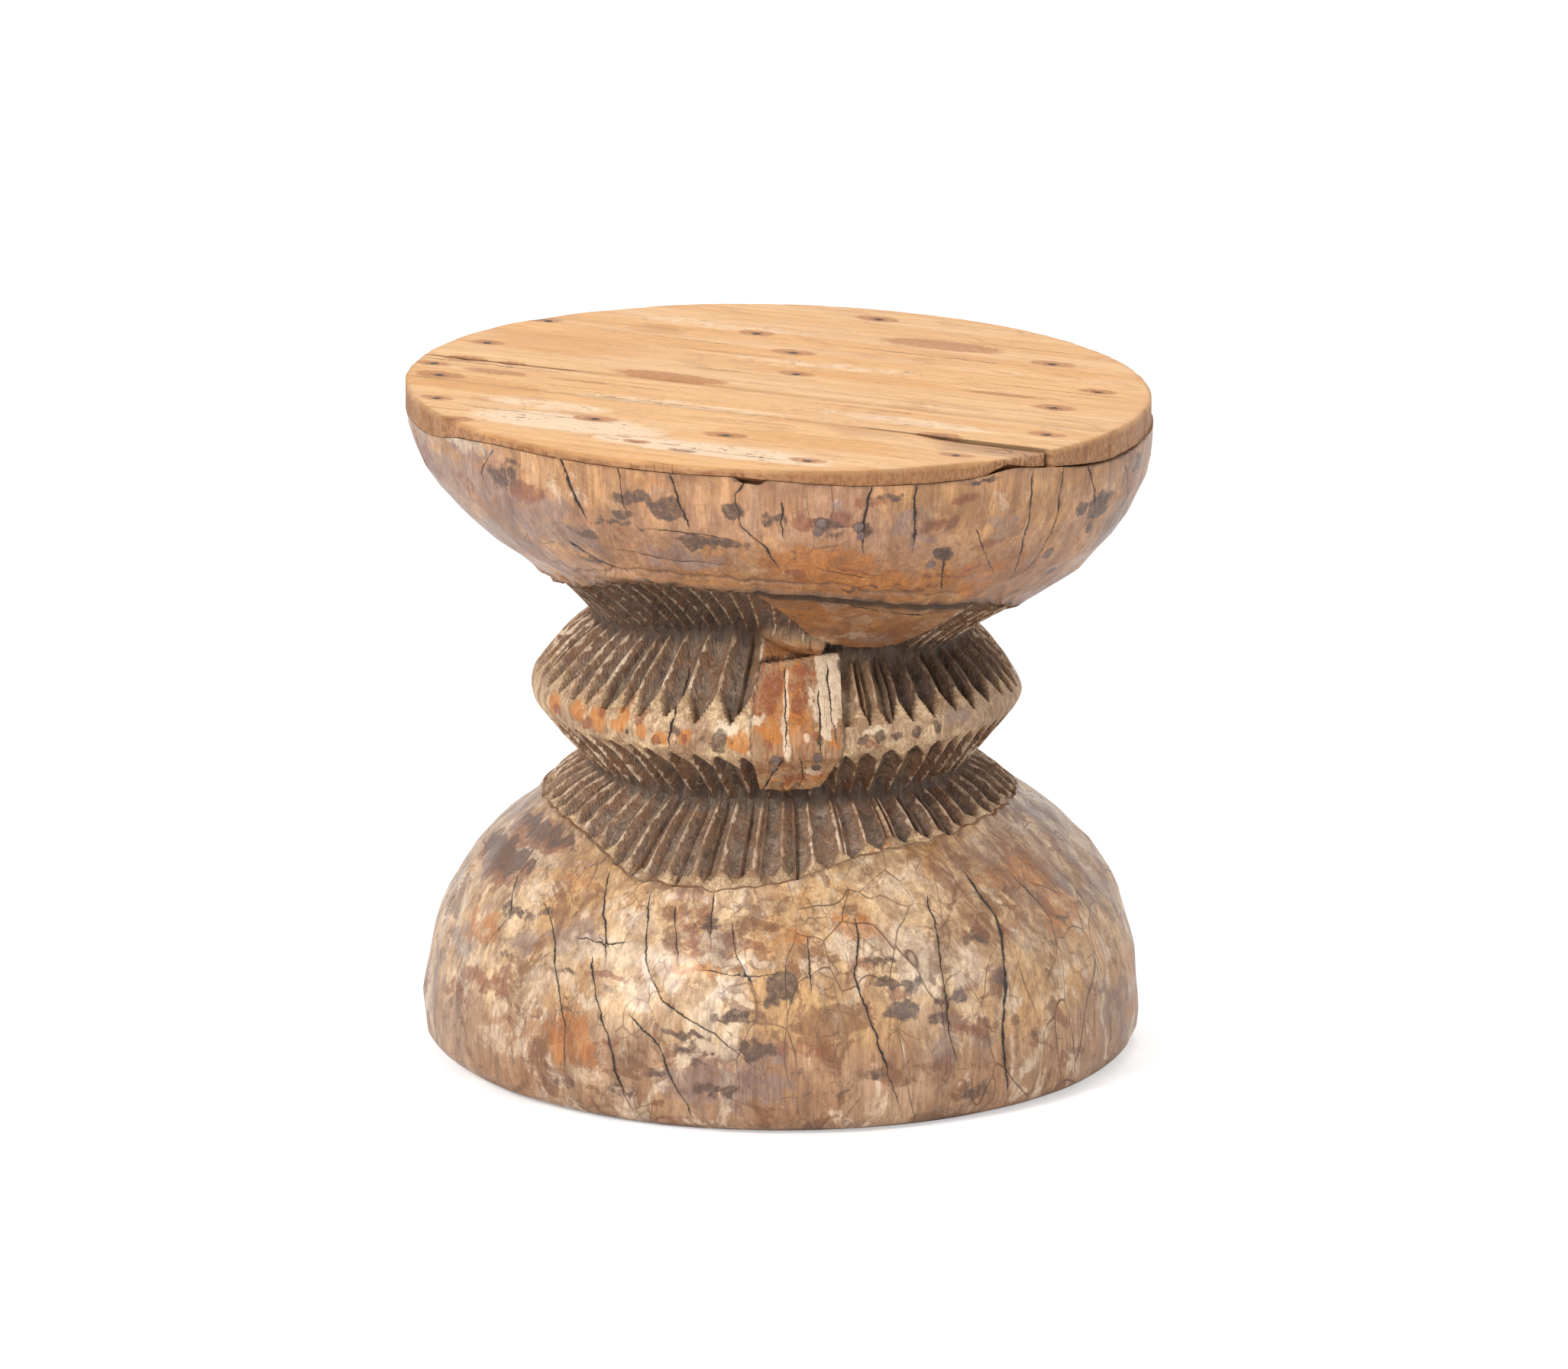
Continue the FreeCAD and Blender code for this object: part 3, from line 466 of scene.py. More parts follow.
def patch_maps(azimuth, level, patches, seed, count, low, high):
    """How near each point is to the middle of a patch of each kind, with more patches round the back."""
    draw = np.random.default_rng(seed)
    found = {kind: np.zeros(azimuth.shape) for kind in PATCH_KINDS}
    more = [
        (
            PATCH_KINDS[draw.integers(0, len(PATCH_KINDS))], draw.uniform(78, 282),
            draw.uniform(low, high), draw.uniform(1.5, 8), draw.uniform(3, 13), draw.uniform(0.5, 1),
        )
        for _ in range(count)
    ]
    warp_az = 1.5 * waves(azimuth, level, seed + 1, 30, 80, 26) + 0.9 * waves(azimuth, level, seed + 2, 30, 200, 12)
    warp_z = 3.2 * waves(azimuth, level, seed + 3, 30, 80, 26) + 1.8 * waves(azimuth, level, seed + 4, 30, 200, 12)
    for kind, az, z, half_az, half_z, strength in listed(patches) + more:
        size = min(1.0, 0.25 + half_az * 0.12)
        turn = wrapped(azimuth + size * warp_az - az)
        reach = np.hypot(turn / half_az, (level + size * warp_z - z) / half_z)
        found[kind] = np.maximum(found[kind], np.clip(1.5 - reach, 0, 1) * strength)
    return found


def back_cracks(seed, count, top, bottom):
    """Splits for the sides that the photograph doesn't show."""
    draw = np.random.default_rng(seed)
    found = []
    for _ in range(count):
        azimuth, start = draw.uniform(72, 288), draw.uniform((top + bottom) / 2, top)
        end = max(bottom, start - draw.uniform(30, 100))
        levels = np.linspace(start, end, 4)
        drift = np.cumsum(draw.uniform(-2.2, 2.2, 4))
        found.append((draw.uniform(0.5, 1.4), *zip(azimuth + drift, levels)))
    return found


def split_map(azimuth, level, cracks, radius, rise):
    """Side and width of the nearest split, on a surface unrolled at a radius and stretched upward."""
    lines = [
        (wide, *[((az + 180.0) % FULL_TURN * DEG * radius, z * rise) for az, z in points])
        for wide, *points in cracks
    ]
    return line_map((azimuth + 180.0) * DEG * radius, level * rise, lines)


def surface_normals(points):
    """Outward unit normals of a grid that closes up sideways."""
    sideways = np.roll(points, -1, axis=1) - np.roll(points, 1, axis=1)
    downward = np.gradient(points, axis=0)
    normal = np.cross(downward, sideways)
    return normal / np.maximum(np.linalg.norm(normal, axis=2, keepdims=True), 1e-9)


def run_down(first, last, rows):
    """Rows of points evenly between two rings of points, without the last."""
    share = np.linspace(0, 1, rows, endpoint=False)[:, None, None]
    return first[None] * (1 - share) + last[None] * share


def add_piece(name, mesh, crease, values):
    """Smooths a mesh up to an angle, stores its values, and puts it in the scene."""
    mesh.polygons.foreach_set("use_smooth", np.ones(len(mesh.polygons), bool))
    mesh.update(calc_edges=True)
    for label, value in values.items():
        store = mesh.attributes.new(label, "FLOAT", "POINT")
        store.data.foreach_set("value", value.astype(np.float32).ravel())
    mesh.set_sharp_from_angle(angle=crease * DEG)
    piece = bpy.data.objects.new(name, mesh)
    bpy.context.scene.collection.objects.link(piece)
    return piece


def band_faces(start, rows, size):
    """Quads between rings of points that follow each other from a first point's number."""
    faces = []
    for row in range(rows - 1):
        below, above = start + row * size, start + (row + 1) * size
        for index in range(size):
            following = (index + 1) % size
            faces.append((below + index, below + following, above + following, above + index))
    return faces


def closed_body(name, outside, inside, values, materials):
    """A ring-shaped body from its outside rows and inside rows, each row closing up sideways."""
    rows = np.concatenate([outside, inside])
    count = len(rows)
    index = np.arange(count * COLUMNS).reshape(count, COLUMNS)
    below, right = np.roll(index, -1, axis=0), np.roll(index, -1, axis=1)
    corner = np.roll(below, -1, axis=1)
    faces = np.stack([index, below, corner, right], -1).reshape(-1, 4)
    points = rows.reshape(-1, 3) * MM
    a, b, c = points[faces[:, 0]], points[faces[:, 1]], points[faces[:, 2]]
    if np.einsum("ij,ij->i", a, np.cross(b, c)).sum() < 0:
        faces = faces[:, ::-1]
    mesh = bpy.data.meshes.new(name)
    mesh.vertices.add(len(points))
    mesh.vertices.foreach_set("co", points.astype(np.float32).ravel())
    mesh.loops.add(faces.size)
    mesh.loops.foreach_set("vertex_index", faces.astype(np.int32).ravel())
    mesh.polygons.add(len(faces))
    mesh.polygons.foreach_set("loop_start", np.arange(0, faces.size, 4, dtype=np.int32))
    for material in materials:
        mesh.materials.append(material)
    slots = np.zeros((count, COLUMNS), np.int32)
    slots[len(outside):] = len(materials) - 1
    mesh.polygons.foreach_set("material_index", slots.ravel())
    spread = {label: np.zeros((count, COLUMNS)) for label in values}
    for label, value in values.items():
        spread[label][: len(value)] = value
    return add_piece(name, mesh, LOG_CREASE, spread)


def attach(piece, node):
    """The piece stands for a CAD node and rides on the table."""
    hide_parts(node)
    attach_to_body(piece, "root")


# ---------------------------------------------------------------- shader building
class Wiring:
    """Adds nodes to a tree and links them."""

    def __init__(self, tree):
        self.tree = tree

    def feed(self, socket, value):
        if isinstance(value, bpy.types.NodeSocket):
            self.tree.links.new(value, socket)
        else:
            socket.default_value = value

    def add(self, kind, inputs=None, **settings):
        node = self.tree.nodes.new(kind)
        node.location = (200 * (len(self.tree.nodes) % 12), -240 * (len(self.tree.nodes) // 12))
        for key, value in settings.items():
            setattr(node, key, value)
        for key, value in (inputs or {}).items():
            self.feed(node.inputs[key], value)
        return node

    def sum(self, operation, a, b=0.0):
        return self.add("ShaderNodeMath", {0: a, 1: b}, operation=operation).outputs[0]

    def times(self, a, b):
        return self.sum("MULTIPLY", a, b)

    def plus(self, a, b):
        return self.sum("ADD", a, b)

    def minus(self, a, b):
        return self.sum("SUBTRACT", a, b)

    def vector(self, operation, a, b):
        return self.add("ShaderNodeVectorMath", {0: a, 1: b}, operation=operation).outputs[0]

    def step(self, value, low, high, to_low=0.0, to_high=1.0):
        ends = {"Value": value, "From Min": low, "From Max": high, "To Min": to_low, "To Max": to_high}
        return self.add("ShaderNodeMapRange", ends, interpolation_type="SMOOTHSTEP").outputs[0]

    def blend(self, share, a, b, mode="MIX"):
        parts = {0: share, 6: a, 7: b}
        return self.add("ShaderNodeMix", parts, data_type="RGBA", blend_type=mode).outputs[2]

    def span(self, value, to_low, to_high):
        """Runs between two ends as the value goes from 0 to 1."""
        return self.step(value, 0.0, 1.0, to_low, to_high)

    def mix(self, share, tone, other):
        """A colour between two named tones."""
        return self.blend(share, colour(tone), colour(other))

    def tint(self, base, tone, mask, share=None, mode="MIX"):
        """Lays a named tone over a colour where the mask says, at a share of its strength."""
        return self.blend(mask if share is None else self.times(mask, share), base, colour(tone), mode)

    def tints(self, base, *layers):
        """Lays several tones over a colour, each as (tone, mask, share)."""
        for layer in layers:
            base = self.tint(base, *layer)
        return base

    def noise(self, vector, scale, detail=4.0, rough=0.55, twist=0.0):
        parts = {"Vector": vector, "Scale": scale, "Detail": detail, "Roughness": rough, "Distortion": twist}
        return self.add("ShaderNodeTexNoise", parts).outputs["Fac"]

    def stretch(self, vector, scale, turn=0.0):
        parts = {"Vector": vector, "Scale": scale, "Rotation": (0, 0, turn)}
        return self.add("ShaderNodeMapping", parts).outputs[0]

    def attribute(self, name):
        return self.add("ShaderNodeAttribute", attribute_name=name).outputs["Fac"]

    def place(self):
        return self.add("ShaderNodeTexCoord").outputs["Object"]

    def group(self, name, inputs):
        node = self.add("ShaderNodeGroup", node_tree=bpy.data.node_groups[name])
        for key, value in inputs.items():
            self.feed(node.inputs[key], value)
        return node.outputs

    def blotches(self, vector, scale, twist, low, high):
        parts = {"Vector": vector, "Scale": scale, "Twist": twist, "Low": low, "High": high}
        return self.group("Blotches", parts)["Mask"]

    def fibre(self, vector, cell):
        return self.group("Wood fibre", {"Vector": vector, "Cell": cell})

    def checks(self, vector, cell, width):
        return self.group("Fine checks", {"Vector": vector, "Cell": cell, "Width": width})["Line"]

    def splits(self, vector):
        side, width = self.attribute("split_side"), self.attribute("split_width")
        return self.group("Split line", {"Vector": vector, "Side": side, "Width": width})


def make_group(name, inputs, outputs, fill):
    """A shared effect with named sockets."""
    tree = bpy.data.node_groups.new(name, "ShaderNodeTree")
    for label, kind, value in inputs:
        socket = tree.interface.new_socket(name=label, in_out="INPUT", socket_type="NodeSocket" + kind)
        if value is not None:
            socket.default_value = value
    for label, kind in outputs:
        tree.interface.new_socket(name=label, in_out="OUTPUT", socket_type="NodeSocket" + kind)
    inlet, outlet = tree.nodes.new("NodeGroupInput"), tree.nodes.new("NodeGroupOutput")
    wires = Wiring(tree)
    for label, value in fill(wires, inlet.outputs).items():
        wires.feed(outlet.inputs[label], value)


def fibre_effect(wires, given):
    scaled = wires.vector("DIVIDE", given["Vector"], given["Cell"])
    fine = wires.noise(scaled, 1.0, 3.0, 0.6, 0.25)
    broad = wires.noise(scaled, 0.23, 4.0, 0.55, 0.5)
    return {"Fibre": wires.step(fine, 0.34, 0.68), "Streak": wires.step(broad, 0.36, 0.66)}


def blotch_effect(wires, given):
    cloud = wires.noise(given["Vector"], given["Scale"], 8.0, 0.65, given["Twist"])
    return {"Mask": wires.step(cloud, given["Low"], given["High"])}


def patch_effect(wires, given):
    rag = wires.noise(given["Vector"], 75.0, 7.0, 0.72, 0.6)
    drift = wires.times(wires.minus(rag, 0.5), given["Ragged"])
    some = wires.step(given["Near"], 0.0, 0.12)
    mask = wires.step(wires.plus(given["Near"], drift), 0.34, 0.66)
    grain = wires.step(wires.noise(given["Vector"], 260.0, 6.0, 0.75), 0.40, 0.62, 1.0, 0.68)
    return {"Mask": wires.times(wires.times(mask, some), grain)}


def split_effect(wires, given):
    wander = wires.times(wires.minus(wires.noise(given["Vector"], 70.0, 5.0, 0.6), 0.5), 7.0)
    side = wires.sum("ABSOLUTE", wires.plus(given["Side"], wander))
    half = wires.times(given["Width"], wires.step(wires.noise(given["Vector"], 90.0, 2.0), 0.3, 0.7, 0.28, 0.78))
    near = wires.sum("DIVIDE", side, wires.sum("MAXIMUM", half, 0.02))
    line = wires.step(near, 1.25, 0.45)
    halo = wires.times(wires.step(near, 4.5, 1.0), wires.step(given["Width"], 0.1, 0.8))
    return {"Line": line, "Halo": halo}


def check_effect(wires, given):
    scaled = wires.vector("DIVIDE", given["Vector"], given["Cell"])
    drift = wires.add("ShaderNodeTexNoise", {"Vector": scaled, "Scale": 0.8, "Detail": 1.0}).outputs["Color"]
    moved = wires.vector("ADD", scaled, drift)
    edge = wires.add(
        "ShaderNodeTexVoronoi", {"Vector": moved, "Scale": 1.0}, feature="DISTANCE_TO_EDGE"
    ).outputs["Distance"]
    some = wires.step(wires.noise(scaled, 0.4, 3.0), 0.48, 0.62)
    return {"Line": wires.times(wires.step(edge, given["Width"], 0.0), some)}


def build_effects():
    """The effects that several finishes share."""
    vector, cell = ("Vector", "Vector", None), ("Cell", "Vector", (0.01, 0.01, 0.1))
    make_group("Wood fibre", [vector, cell], [("Fibre", "Float"), ("Streak", "Float")], fibre_effect)
    make_group(
        "Blotches",
        [vector, ("Scale", "Float", 20.0), ("Twist", "Float", 0.5), ("Low", "Float", 0.4), ("High", "Float", 0.65)],
        [("Mask", "Float")], blotch_effect,
    )
    make_group(
        "Ragged patch", [vector, ("Near", "Float", 0.0), ("Ragged", "Float", 0.7)], [("Mask", "Float")], patch_effect
    )
    make_group(
        "Split line", [vector, ("Side", "Float", 12.0), ("Width", "Float", 0.0)],
        [("Line", "Float"), ("Halo", "Float")], split_effect,
    )
    make_group("Fine checks", [vector, cell, ("Width", "Float", 0.05)], [("Line", "Float")], check_effect)


def colour(name):
    """A colour that the user may change, as a shader value."""
    return (*getattr(bpy.context.scene.drum_table_colours, name), 1.0)


def new_material(name):
    material = bpy.data.materials.new(name)
    material.use_nodes = True
    material.node_tree.nodes.clear()
    wires = Wiring(material.node_tree)
    shader = wires.add("ShaderNodeBsdfPrincipled")
    output = wires.add("ShaderNodeOutputMaterial")
    wires.tree.links.new(shader.outputs[0], output.inputs[0])
    return material, wires, shader


def finish_surface(wires, shader, base, rough, height, relief):
    """Feeds colour, roughness and relief, with the relief's depth in mm."""
    wires.feed(shader.inputs["Base Color"], base)
    wires.feed(shader.inputs["Roughness"], rough)
    bump = wires.add("ShaderNodeBump", {"Strength": 1.0, "Distance": relief * MM, "Height": height})
    wires.feed(shader.inputs["Normal"], bump.outputs[0])


def patched(wires, where, base, layers, ragged=2.1):
    """Lays the painted patches over a colour."""
    for kind, tone, strength in layers:
        mask = wires.group("Ragged patch", {"Vector": where, "Near": wires.attribute(kind), "Ragged": ragged})["Mask"]
        base = wires.tint(base, tone, mask, strength)
    return base


def skin_material(name, tones, gloss, mottle):
    """Handled, polished wood of the bowl and the foot, with painted shade in its creases."""
    material, wires, shader = new_material(name)
    where = wires.place()
    base, fine, small = skin_colour(wires, where, tones, mottle)
    split = wires.splits(where)
    base = wires.tints(base, ("stain_brown", split["Halo"], 0.3), ("split_black", split["Line"]))
    # Painted shade in brown: in creases, under the boards' edge and the lip, round the pegs, under the skirt's step
    # and along the foot's floor line.
    crease_shade = wires.times(wires.attribute("painted_shade"), wires.span(small, 0.6, 1.0))
    base = wires.tint(base, "groove_brown", crease_shade)
    smears = wires.blotches(where, 26.0, 1.4, 0.36, 0.66)
    rough = wires.span(smears, gloss, gloss + 0.22)
    rough = wires.plus(rough, wires.times(wires.sum("MAXIMUM", split["Line"], fine), 0.3))
    pits = wires.noise(where, 150.0, 5.0, 0.6)
    facets = wires.noise(where, 24.0, 2.0, 0.5)
    height = wires.plus(wires.times(pits, 0.5), wires.times(facets, 4.0))
    height = wires.plus(height, wires.times(small, 0.25))
    height = wires.minus(height, wires.times(fine, 0.45))
    height = wires.minus(height, split["Line"])
    finish_surface(wires, shader, base, rough, height, 1.0)
    shader.inputs["Coat Weight"].default_value = 0.32
    shader.inputs["Coat Roughness"].default_value = 0.14
    shader.inputs["Specular IOR Level"].default_value = 0.35
    return material


def skin_colour(wires, where, tones, mottle):
    """Colour of handled wood, with the fine checks and the small mottling that it uses."""
    light, middle, low, under = tones
    fibre = wires.fibre(where, (0.0018, 0.0018, 0.030))
    drawn = wires.stretch(where, (1.0, 1.0, 0.55))
    broad = wires.blotches(drawn, 15.0, 0.4, 0.42, 0.58)
    small = wires.blotches(drawn, 44.0, 0.5, 0.46, 0.57)
    stains = wires.blotches(where, 31.0, 0.8, 0.53, 0.575)
    worn = wires.blotches(drawn, 37.0, 0.7, 0.54, 0.60)
    grain = wires.blotches(drawn, 190.0, 0.3, 0.50, 0.60)
    # The under tone, laid where the attribute low says, is partly painted shade on the bowl where it turns under; on
    # the foot it darkens the lower part.
    base = wires.tints(
        wires.mix(broad, light, middle),
        (under, wires.attribute("low"), 0.6),
        (low, small, 0.36 + 0.16 * mottle),
        ("milk_white", worn, 0.02 + 0.68 * mottle),
        ("umber", stains, 0.12 + 0.5 * mottle),
    )
    base = patched(
        wires, where, base,
        (
            ("cool", "lilac_grey", 0.7), ("pale", "milk_white", 0.7),
            ("warm", "warm_orange", 0.66), ("red", "brick_red", 0.8),
            ("dark", "stain_grey", 1.0),
        ),
    )
    base = wires.tint(base, low, fibre["Fibre"], 0.34, mode="MULTIPLY")
    base = wires.tints(base, ("stain_brown", fibre["Streak"], 0.26), ("stain_brown", grain, 0.14 + 0.12 * mottle))
    shade = wires.noise(wires.stretch(where, (1.0, 1.0, 0.22)), 34.0, 4.0, 0.6, 0.3)
    base = wires.tint(base, "stain_brown", wires.step(shade, 0.5, 0.62, 0.0, 0.32))
    leaning = wires.add("ShaderNodeMapping", {"Vector": where, "Rotation": (0.0, 0.75, 0.0)}).outputs[0]
    feather = wires.fibre(leaning, (0.0045, 0.02, 0.028))
    base = wires.tint(base, "umber", wires.times(feather["Fibre"], wires.attribute("feather")), 0.85)
    checks = wires.checks(where, (0.012, 0.012, 0.019), 0.045)
    long_checks = wires.checks(where, (0.030, 0.030, 0.11), 0.018)
    fine = wires.sum(
        "MAXIMUM", wires.times(checks, 0.1 + 0.45 * mottle), wires.times(long_checks, 0.45 + 0.45 * mottle)
    )
    return wires.blend(fine, base, colour("stain_brown")), fine, small


def carved_material():
    """The waist: dark hollowed flutes with painted shade in their creases, pale rubbed ridges, and the smooth painted
    belly and panel.
    """
    material, wires, shader = new_material("carved_waist_wood")
    where = wires.place()
    fibre = wires.fibre(where, (0.0012, 0.0012, 0.020))
    broad = wires.blotches(where, 26.0, 0.8, 0.40, 0.60)
    small = wires.blotches(where, 90.0, 1.0, 0.42, 0.62)
    flute = wires.attribute("flute")
    painted_shade = wires.attribute("painted_shade")
    wavering = wires.plus(wires.attribute("ridge"), wires.step(wires.noise(where, 150.0, 4.0), 0.3, 0.7, -0.14, 0.08))
    ridge = wires.step(wavering, 0.82, 0.94)
    groove = wires.tints(
        wires.mix(broad, "groove_brown", "groove_grey"),
        ("weathered", wires.times(wires.attribute("tone"), wires.span(small, 0.35, 0.8))),
        ("split_black", fibre["Fibre"], 0.62),
        ("ridge_tan", fibre["Streak"], 0.24),
    )
    threads = wires.step(wires.noise(wires.stretch(where, (1.0, 1.0, 0.10)), 420.0, 3.0, 0.6), 0.58, 0.66)
    groove = wires.tints(
        groove,
        ("ridge_tan", threads, 0.42),
        ("bowl_brown", wires.step(wires.noise(where, 60.0, 6.0, 0.7), 0.5, 0.6), 0.4),
        ("bowl_brown", wires.step(wavering, 0.35, 0.95, 0.0, 0.5)),
    )
    belly = wires.tints(
        wires.mix(broad, "belly_tan", "shell_cream"),
        ("panel_ochre", wires.times(wires.attribute("panel"), wires.span(small, 0.85, 0.35))),
        ("bowl_brown", small, 0.6),
        ("stain_brown", fibre["Fibre"], 0.45),
    )
    belly = patched(
        wires, where, belly,
        (
            ("cool", "lilac_grey", 0.6), ("warm", "warm_orange", 0.85),
            ("red", "brick_red", 0.9), ("pale", "milk_white", 0.85),
            ("dark", "groove_brown", 0.9),
        ),
    )
    streaked = wires.stretch(where, (1.0, 1.0, 0.3))
    rubbed_off = wires.step(wires.noise(streaked, 130.0, 6.0, 0.7), 0.48, 0.58)
    soaked = wires.step(wires.noise(streaked, 95.0, 6.0, 0.7, 0.8), 0.50, 0.60)
    specks = wires.step(wires.noise(where, 170.0, 6.0, 0.75), 0.54, 0.62)
    on_panel = wires.times(wires.attribute("panel"), wires.step(wires.attribute("pale"), 0.6, 0.3))
    belly = wires.tints(
        belly,
        ("brick_red", wires.times(soaked, on_panel), 0.65),
        ("belly_tan", wires.times(rubbed_off, on_panel), 0.42),
        ("umber", specks, 0.38),
    )
    skin, _, _ = skin_colour(wires, where, ("bowl_tan", "bowl_under_shade", "bowl_brown", "bowl_under_shade"), 0.5)
    smooth_wood = wires.blend(wires.attribute("tongue"), belly, wires.blend(0.35, skin, colour("bowl_brown")))
    base = wires.blend(flute, smooth_wood, groove)
    rubbed = wires.mix(broad, "ridge_tan", "milk_white")
    lit = wires.times(ridge, wires.span(small, 0.95, 0.45))
    lit = wires.times(lit, wires.step(flute, 0.1, 0.6))
    base = wires.blend(wires.times(lit, wires.step(painted_shade, 0.75, 0.2)), base, rubbed)
    split = wires.splits(where)
    # The last layer is black painted shade in the creases, cut lines and shaded sides of the waist.
    base = wires.tints(base, ("split_black", split["Line"]), ("split_black", painted_shade))
    rough = wires.span(broad, 0.44, 0.64)
    height = wires.times(fibre["Fibre"], -0.6)
    height = wires.plus(height, wires.times(small, 0.3))
    height = wires.minus(height, split["Line"])
    finish_surface(wires, shader, base, rough, height, 0.7)
    shader.inputs["Specular IOR Level"].default_value = 0.4
    return material


def hollow_material():
    """Raw, adze-cut wood inside the log."""
    material, wires, shader = new_material("hollow_wood")
    where = wires.place()
    fibre = wires.fibre(where, (0.003, 0.003, 0.05))
    broad = wires.blotches(where, 30.0, 0.6, 0.35, 0.65)
    base = wires.mix(broad, "raw_wood", "bowl_brown")
    base = wires.tint(base, "stain_brown", fibre["Fibre"], 0.45)
    height = wires.plus(wires.times(fibre["Fibre"], -0.4), broad)
    finish_surface(wires, shader, base, wires.span(broad, 0.72, 0.88), height, 1.2)
    return material


def board_material(name, shift):
    """Honey-coloured plank with its grain along the boards, and painted shade in its seams."""
    material, wires, shader = new_material(name)
    turned = wires.stretch(wires.place(), (1.0, 1.0, 1.0), BOARD_TURN * DEG)
    where = wires.vector("ADD", turned, shift)
    fibre = wires.fibre(where, (0.05, 0.0016, 0.004))
    figure = wires.fibre(where, (0.16, 0.0075, 0.03))
    broad = wires.blotches(wires.stretch(where, (0.35, 1.0, 1.0)), 17.0, 0.7, 0.36, 0.64)
    pores = wires.step(wires.noise(wires.stretch(where, (0.09, 1.0, 1.0)), 900.0, 2.0), 0.60, 0.70)
    base = wires.tints(
        wires.mix(broad, "board_honey", "board_peach"),
        ("board_pale", figure["Streak"], 0.55),
        ("board_amber", figure["Fibre"], 0.42),
        ("board_red", fibre["Fibre"], 0.24),
    )
    clouds = wires.blotches(wires.stretch(where, (0.4, 1.0, 1.0)), 36.0, 1.2, 0.52, 0.66)
    base = wires.tint(base, "board_red", clouds, 0.38)
    lines = wires.step(wires.noise(wires.stretch(where, (0.035, 1.0, 1.0)), 330.0, 3.0, 0.6, 0.3), 0.62, 0.70)
    base = wires.tint(base, "umber", lines, 0.3)
    # The pale patches lay chalky streaks, and at the front left a painted sheen.
    base = patched(
        wires, where, base,
        (
            ("pale", "board_white", 0.7), ("warm", "board_amber", 0.6),
            ("red", "board_red", 0.95), ("dark", "umber", 0.85),
        ), 0.9,
    )
    base = wires.tint(base, "stain_brown", pores, 0.35)
    specks = wires.blotches(wires.stretch(where, (0.5, 1.0, 1.0)), 230.0, 0.3, 0.56, 0.60)
    dirt = wires.blotches(where, 40.0, 0.3, 0.48, 0.56)
    specks = wires.times(wires.times(specks, dirt), wires.plus(wires.times(wires.attribute("pale"), 0.8), 0.12))
    base = wires.tint(base, "umber", specks)
    edge = wires.attribute("side")
    seamed = wires.checks(where, (0.014, 0.014, 0.09), 0.06)
    sawn = wires.blend(wires.step(fibre["Fibre"], 0.2, 0.9), colour("side_tan"), colour("bowl_brown"))
    base = wires.blend(wires.times(edge, 0.9), base, wires.blend(seamed, sawn, colour("stain_brown")))
    rim = wires.times(wires.attribute("rim"), wires.span(broad, 0.35, 0.8))
    base = wires.tint(base, "bowl_brown", rim)
    split = wires.splits(where)
    base = wires.tints(
        base,
        ("board_red", split["Halo"], 0.3),
        ("split_black", split["Line"]),
        # Painted shade in the seams between the boards.
        ("split_black", wires.attribute("painted_shade")),
    )
    rough = wires.span(broad, 0.42, 0.56)
    height = wires.times(fibre["Fibre"], -0.35)
    height = wires.plus(height, wires.times(figure["Streak"], 0.4))
    height = wires.minus(height, split["Line"])
    finish_surface(wires, shader, base, rough, height, 0.45)
    shader.inputs["Specular IOR Level"].default_value = 0.3
    return material


def plain_wood_material(name, light, dark, cell, turn):
    """Unseen or small wooden parts."""
    material, wires, shader = new_material(name)
    where = wires.stretch(wires.place(), (1.0, 1.0, 1.0), turn)
    fibre = wires.fibre(where, cell)
    broad = wires.blotches(where, 28.0, 0.5, 0.35, 0.65)
    base = wires.mix(broad, light, dark)
    base = wires.tint(base, "stain_brown", fibre["Fibre"], 0.5)
    finish_surface(wires, shader, base, wires.span(broad, 0.55, 0.75), wires.times(fibre["Fibre"], -1.0), 0.3)
    return material


def iron_material():
    """Hand-forged nails gone brown."""
    material, wires, shader = new_material("rusted_iron")
    where = wires.place()
    rust = wires.blotches(where, 420.0, 0.5, 0.42, 0.62)
    pits = wires.noise(where, 1500.0, 3.0)
    base = wires.mix(rust, "nail_iron", "nail_rust")
    wires.feed(shader.inputs["Metallic"], wires.span(rust, 0.75, 0.1))
    height = wires.plus(rust, wires.times(pits, 0.6))
    finish_surface(wires, shader, base, wires.span(rust, 0.5, 0.85), height, 0.25)
    return material


# ---------------------------------------------------------------- pieces
def rim_gap(azimuth):
    """How far the log's rim stands off the boards: a short dark gap at the front."""
    return 3.4 * smooth(np.abs(azimuth + 4.2), 2.6, 1.2) + 1.6 * smooth(np.abs(azimuth - 57), 14.0, 6.0)


def rim_ring(radius_share):
    """A ring on the log's top face, whose outer edge stands higher where the boards are worn thin."""
    outer, middle = bowl_surface(np.full(COLUMNS, 440.0), AZ)
    radius = MOUTH_RADIUS + (outer - MOUTH_RADIUS) * radius_share
    lift = around(RIM_LIFT, 2.0) * smooth(radius - outer, -16.0, -1.0)
    gap = rim_gap(AZ) * smooth(radius - outer, -20.0, -2.0)
    return place(radius, middle * radius_share, AZ, RIM_TOP + lift - gap)


def plain_ring(radius, level):
    """A plain round ring of the hollow."""
    return place(np.full(COLUMNS, float(radius)), 0.0, AZ, float(level))


def hollow_rows(corners, wave, seed):
    """Rows through these rings, worked unevenly by the adze."""
    rows = np.concatenate([run_down(*corner) for corner in corners])
    radius = np.hypot(rows[..., 0], rows[..., 1])
    turn = bearing(rows)
    cut = np.abs(waves(turn, rows[..., 2], seed, 14, 18, 60)) * wave
    rows[..., :2] *= ((radius + cut) / radius)[..., None]
    return rows


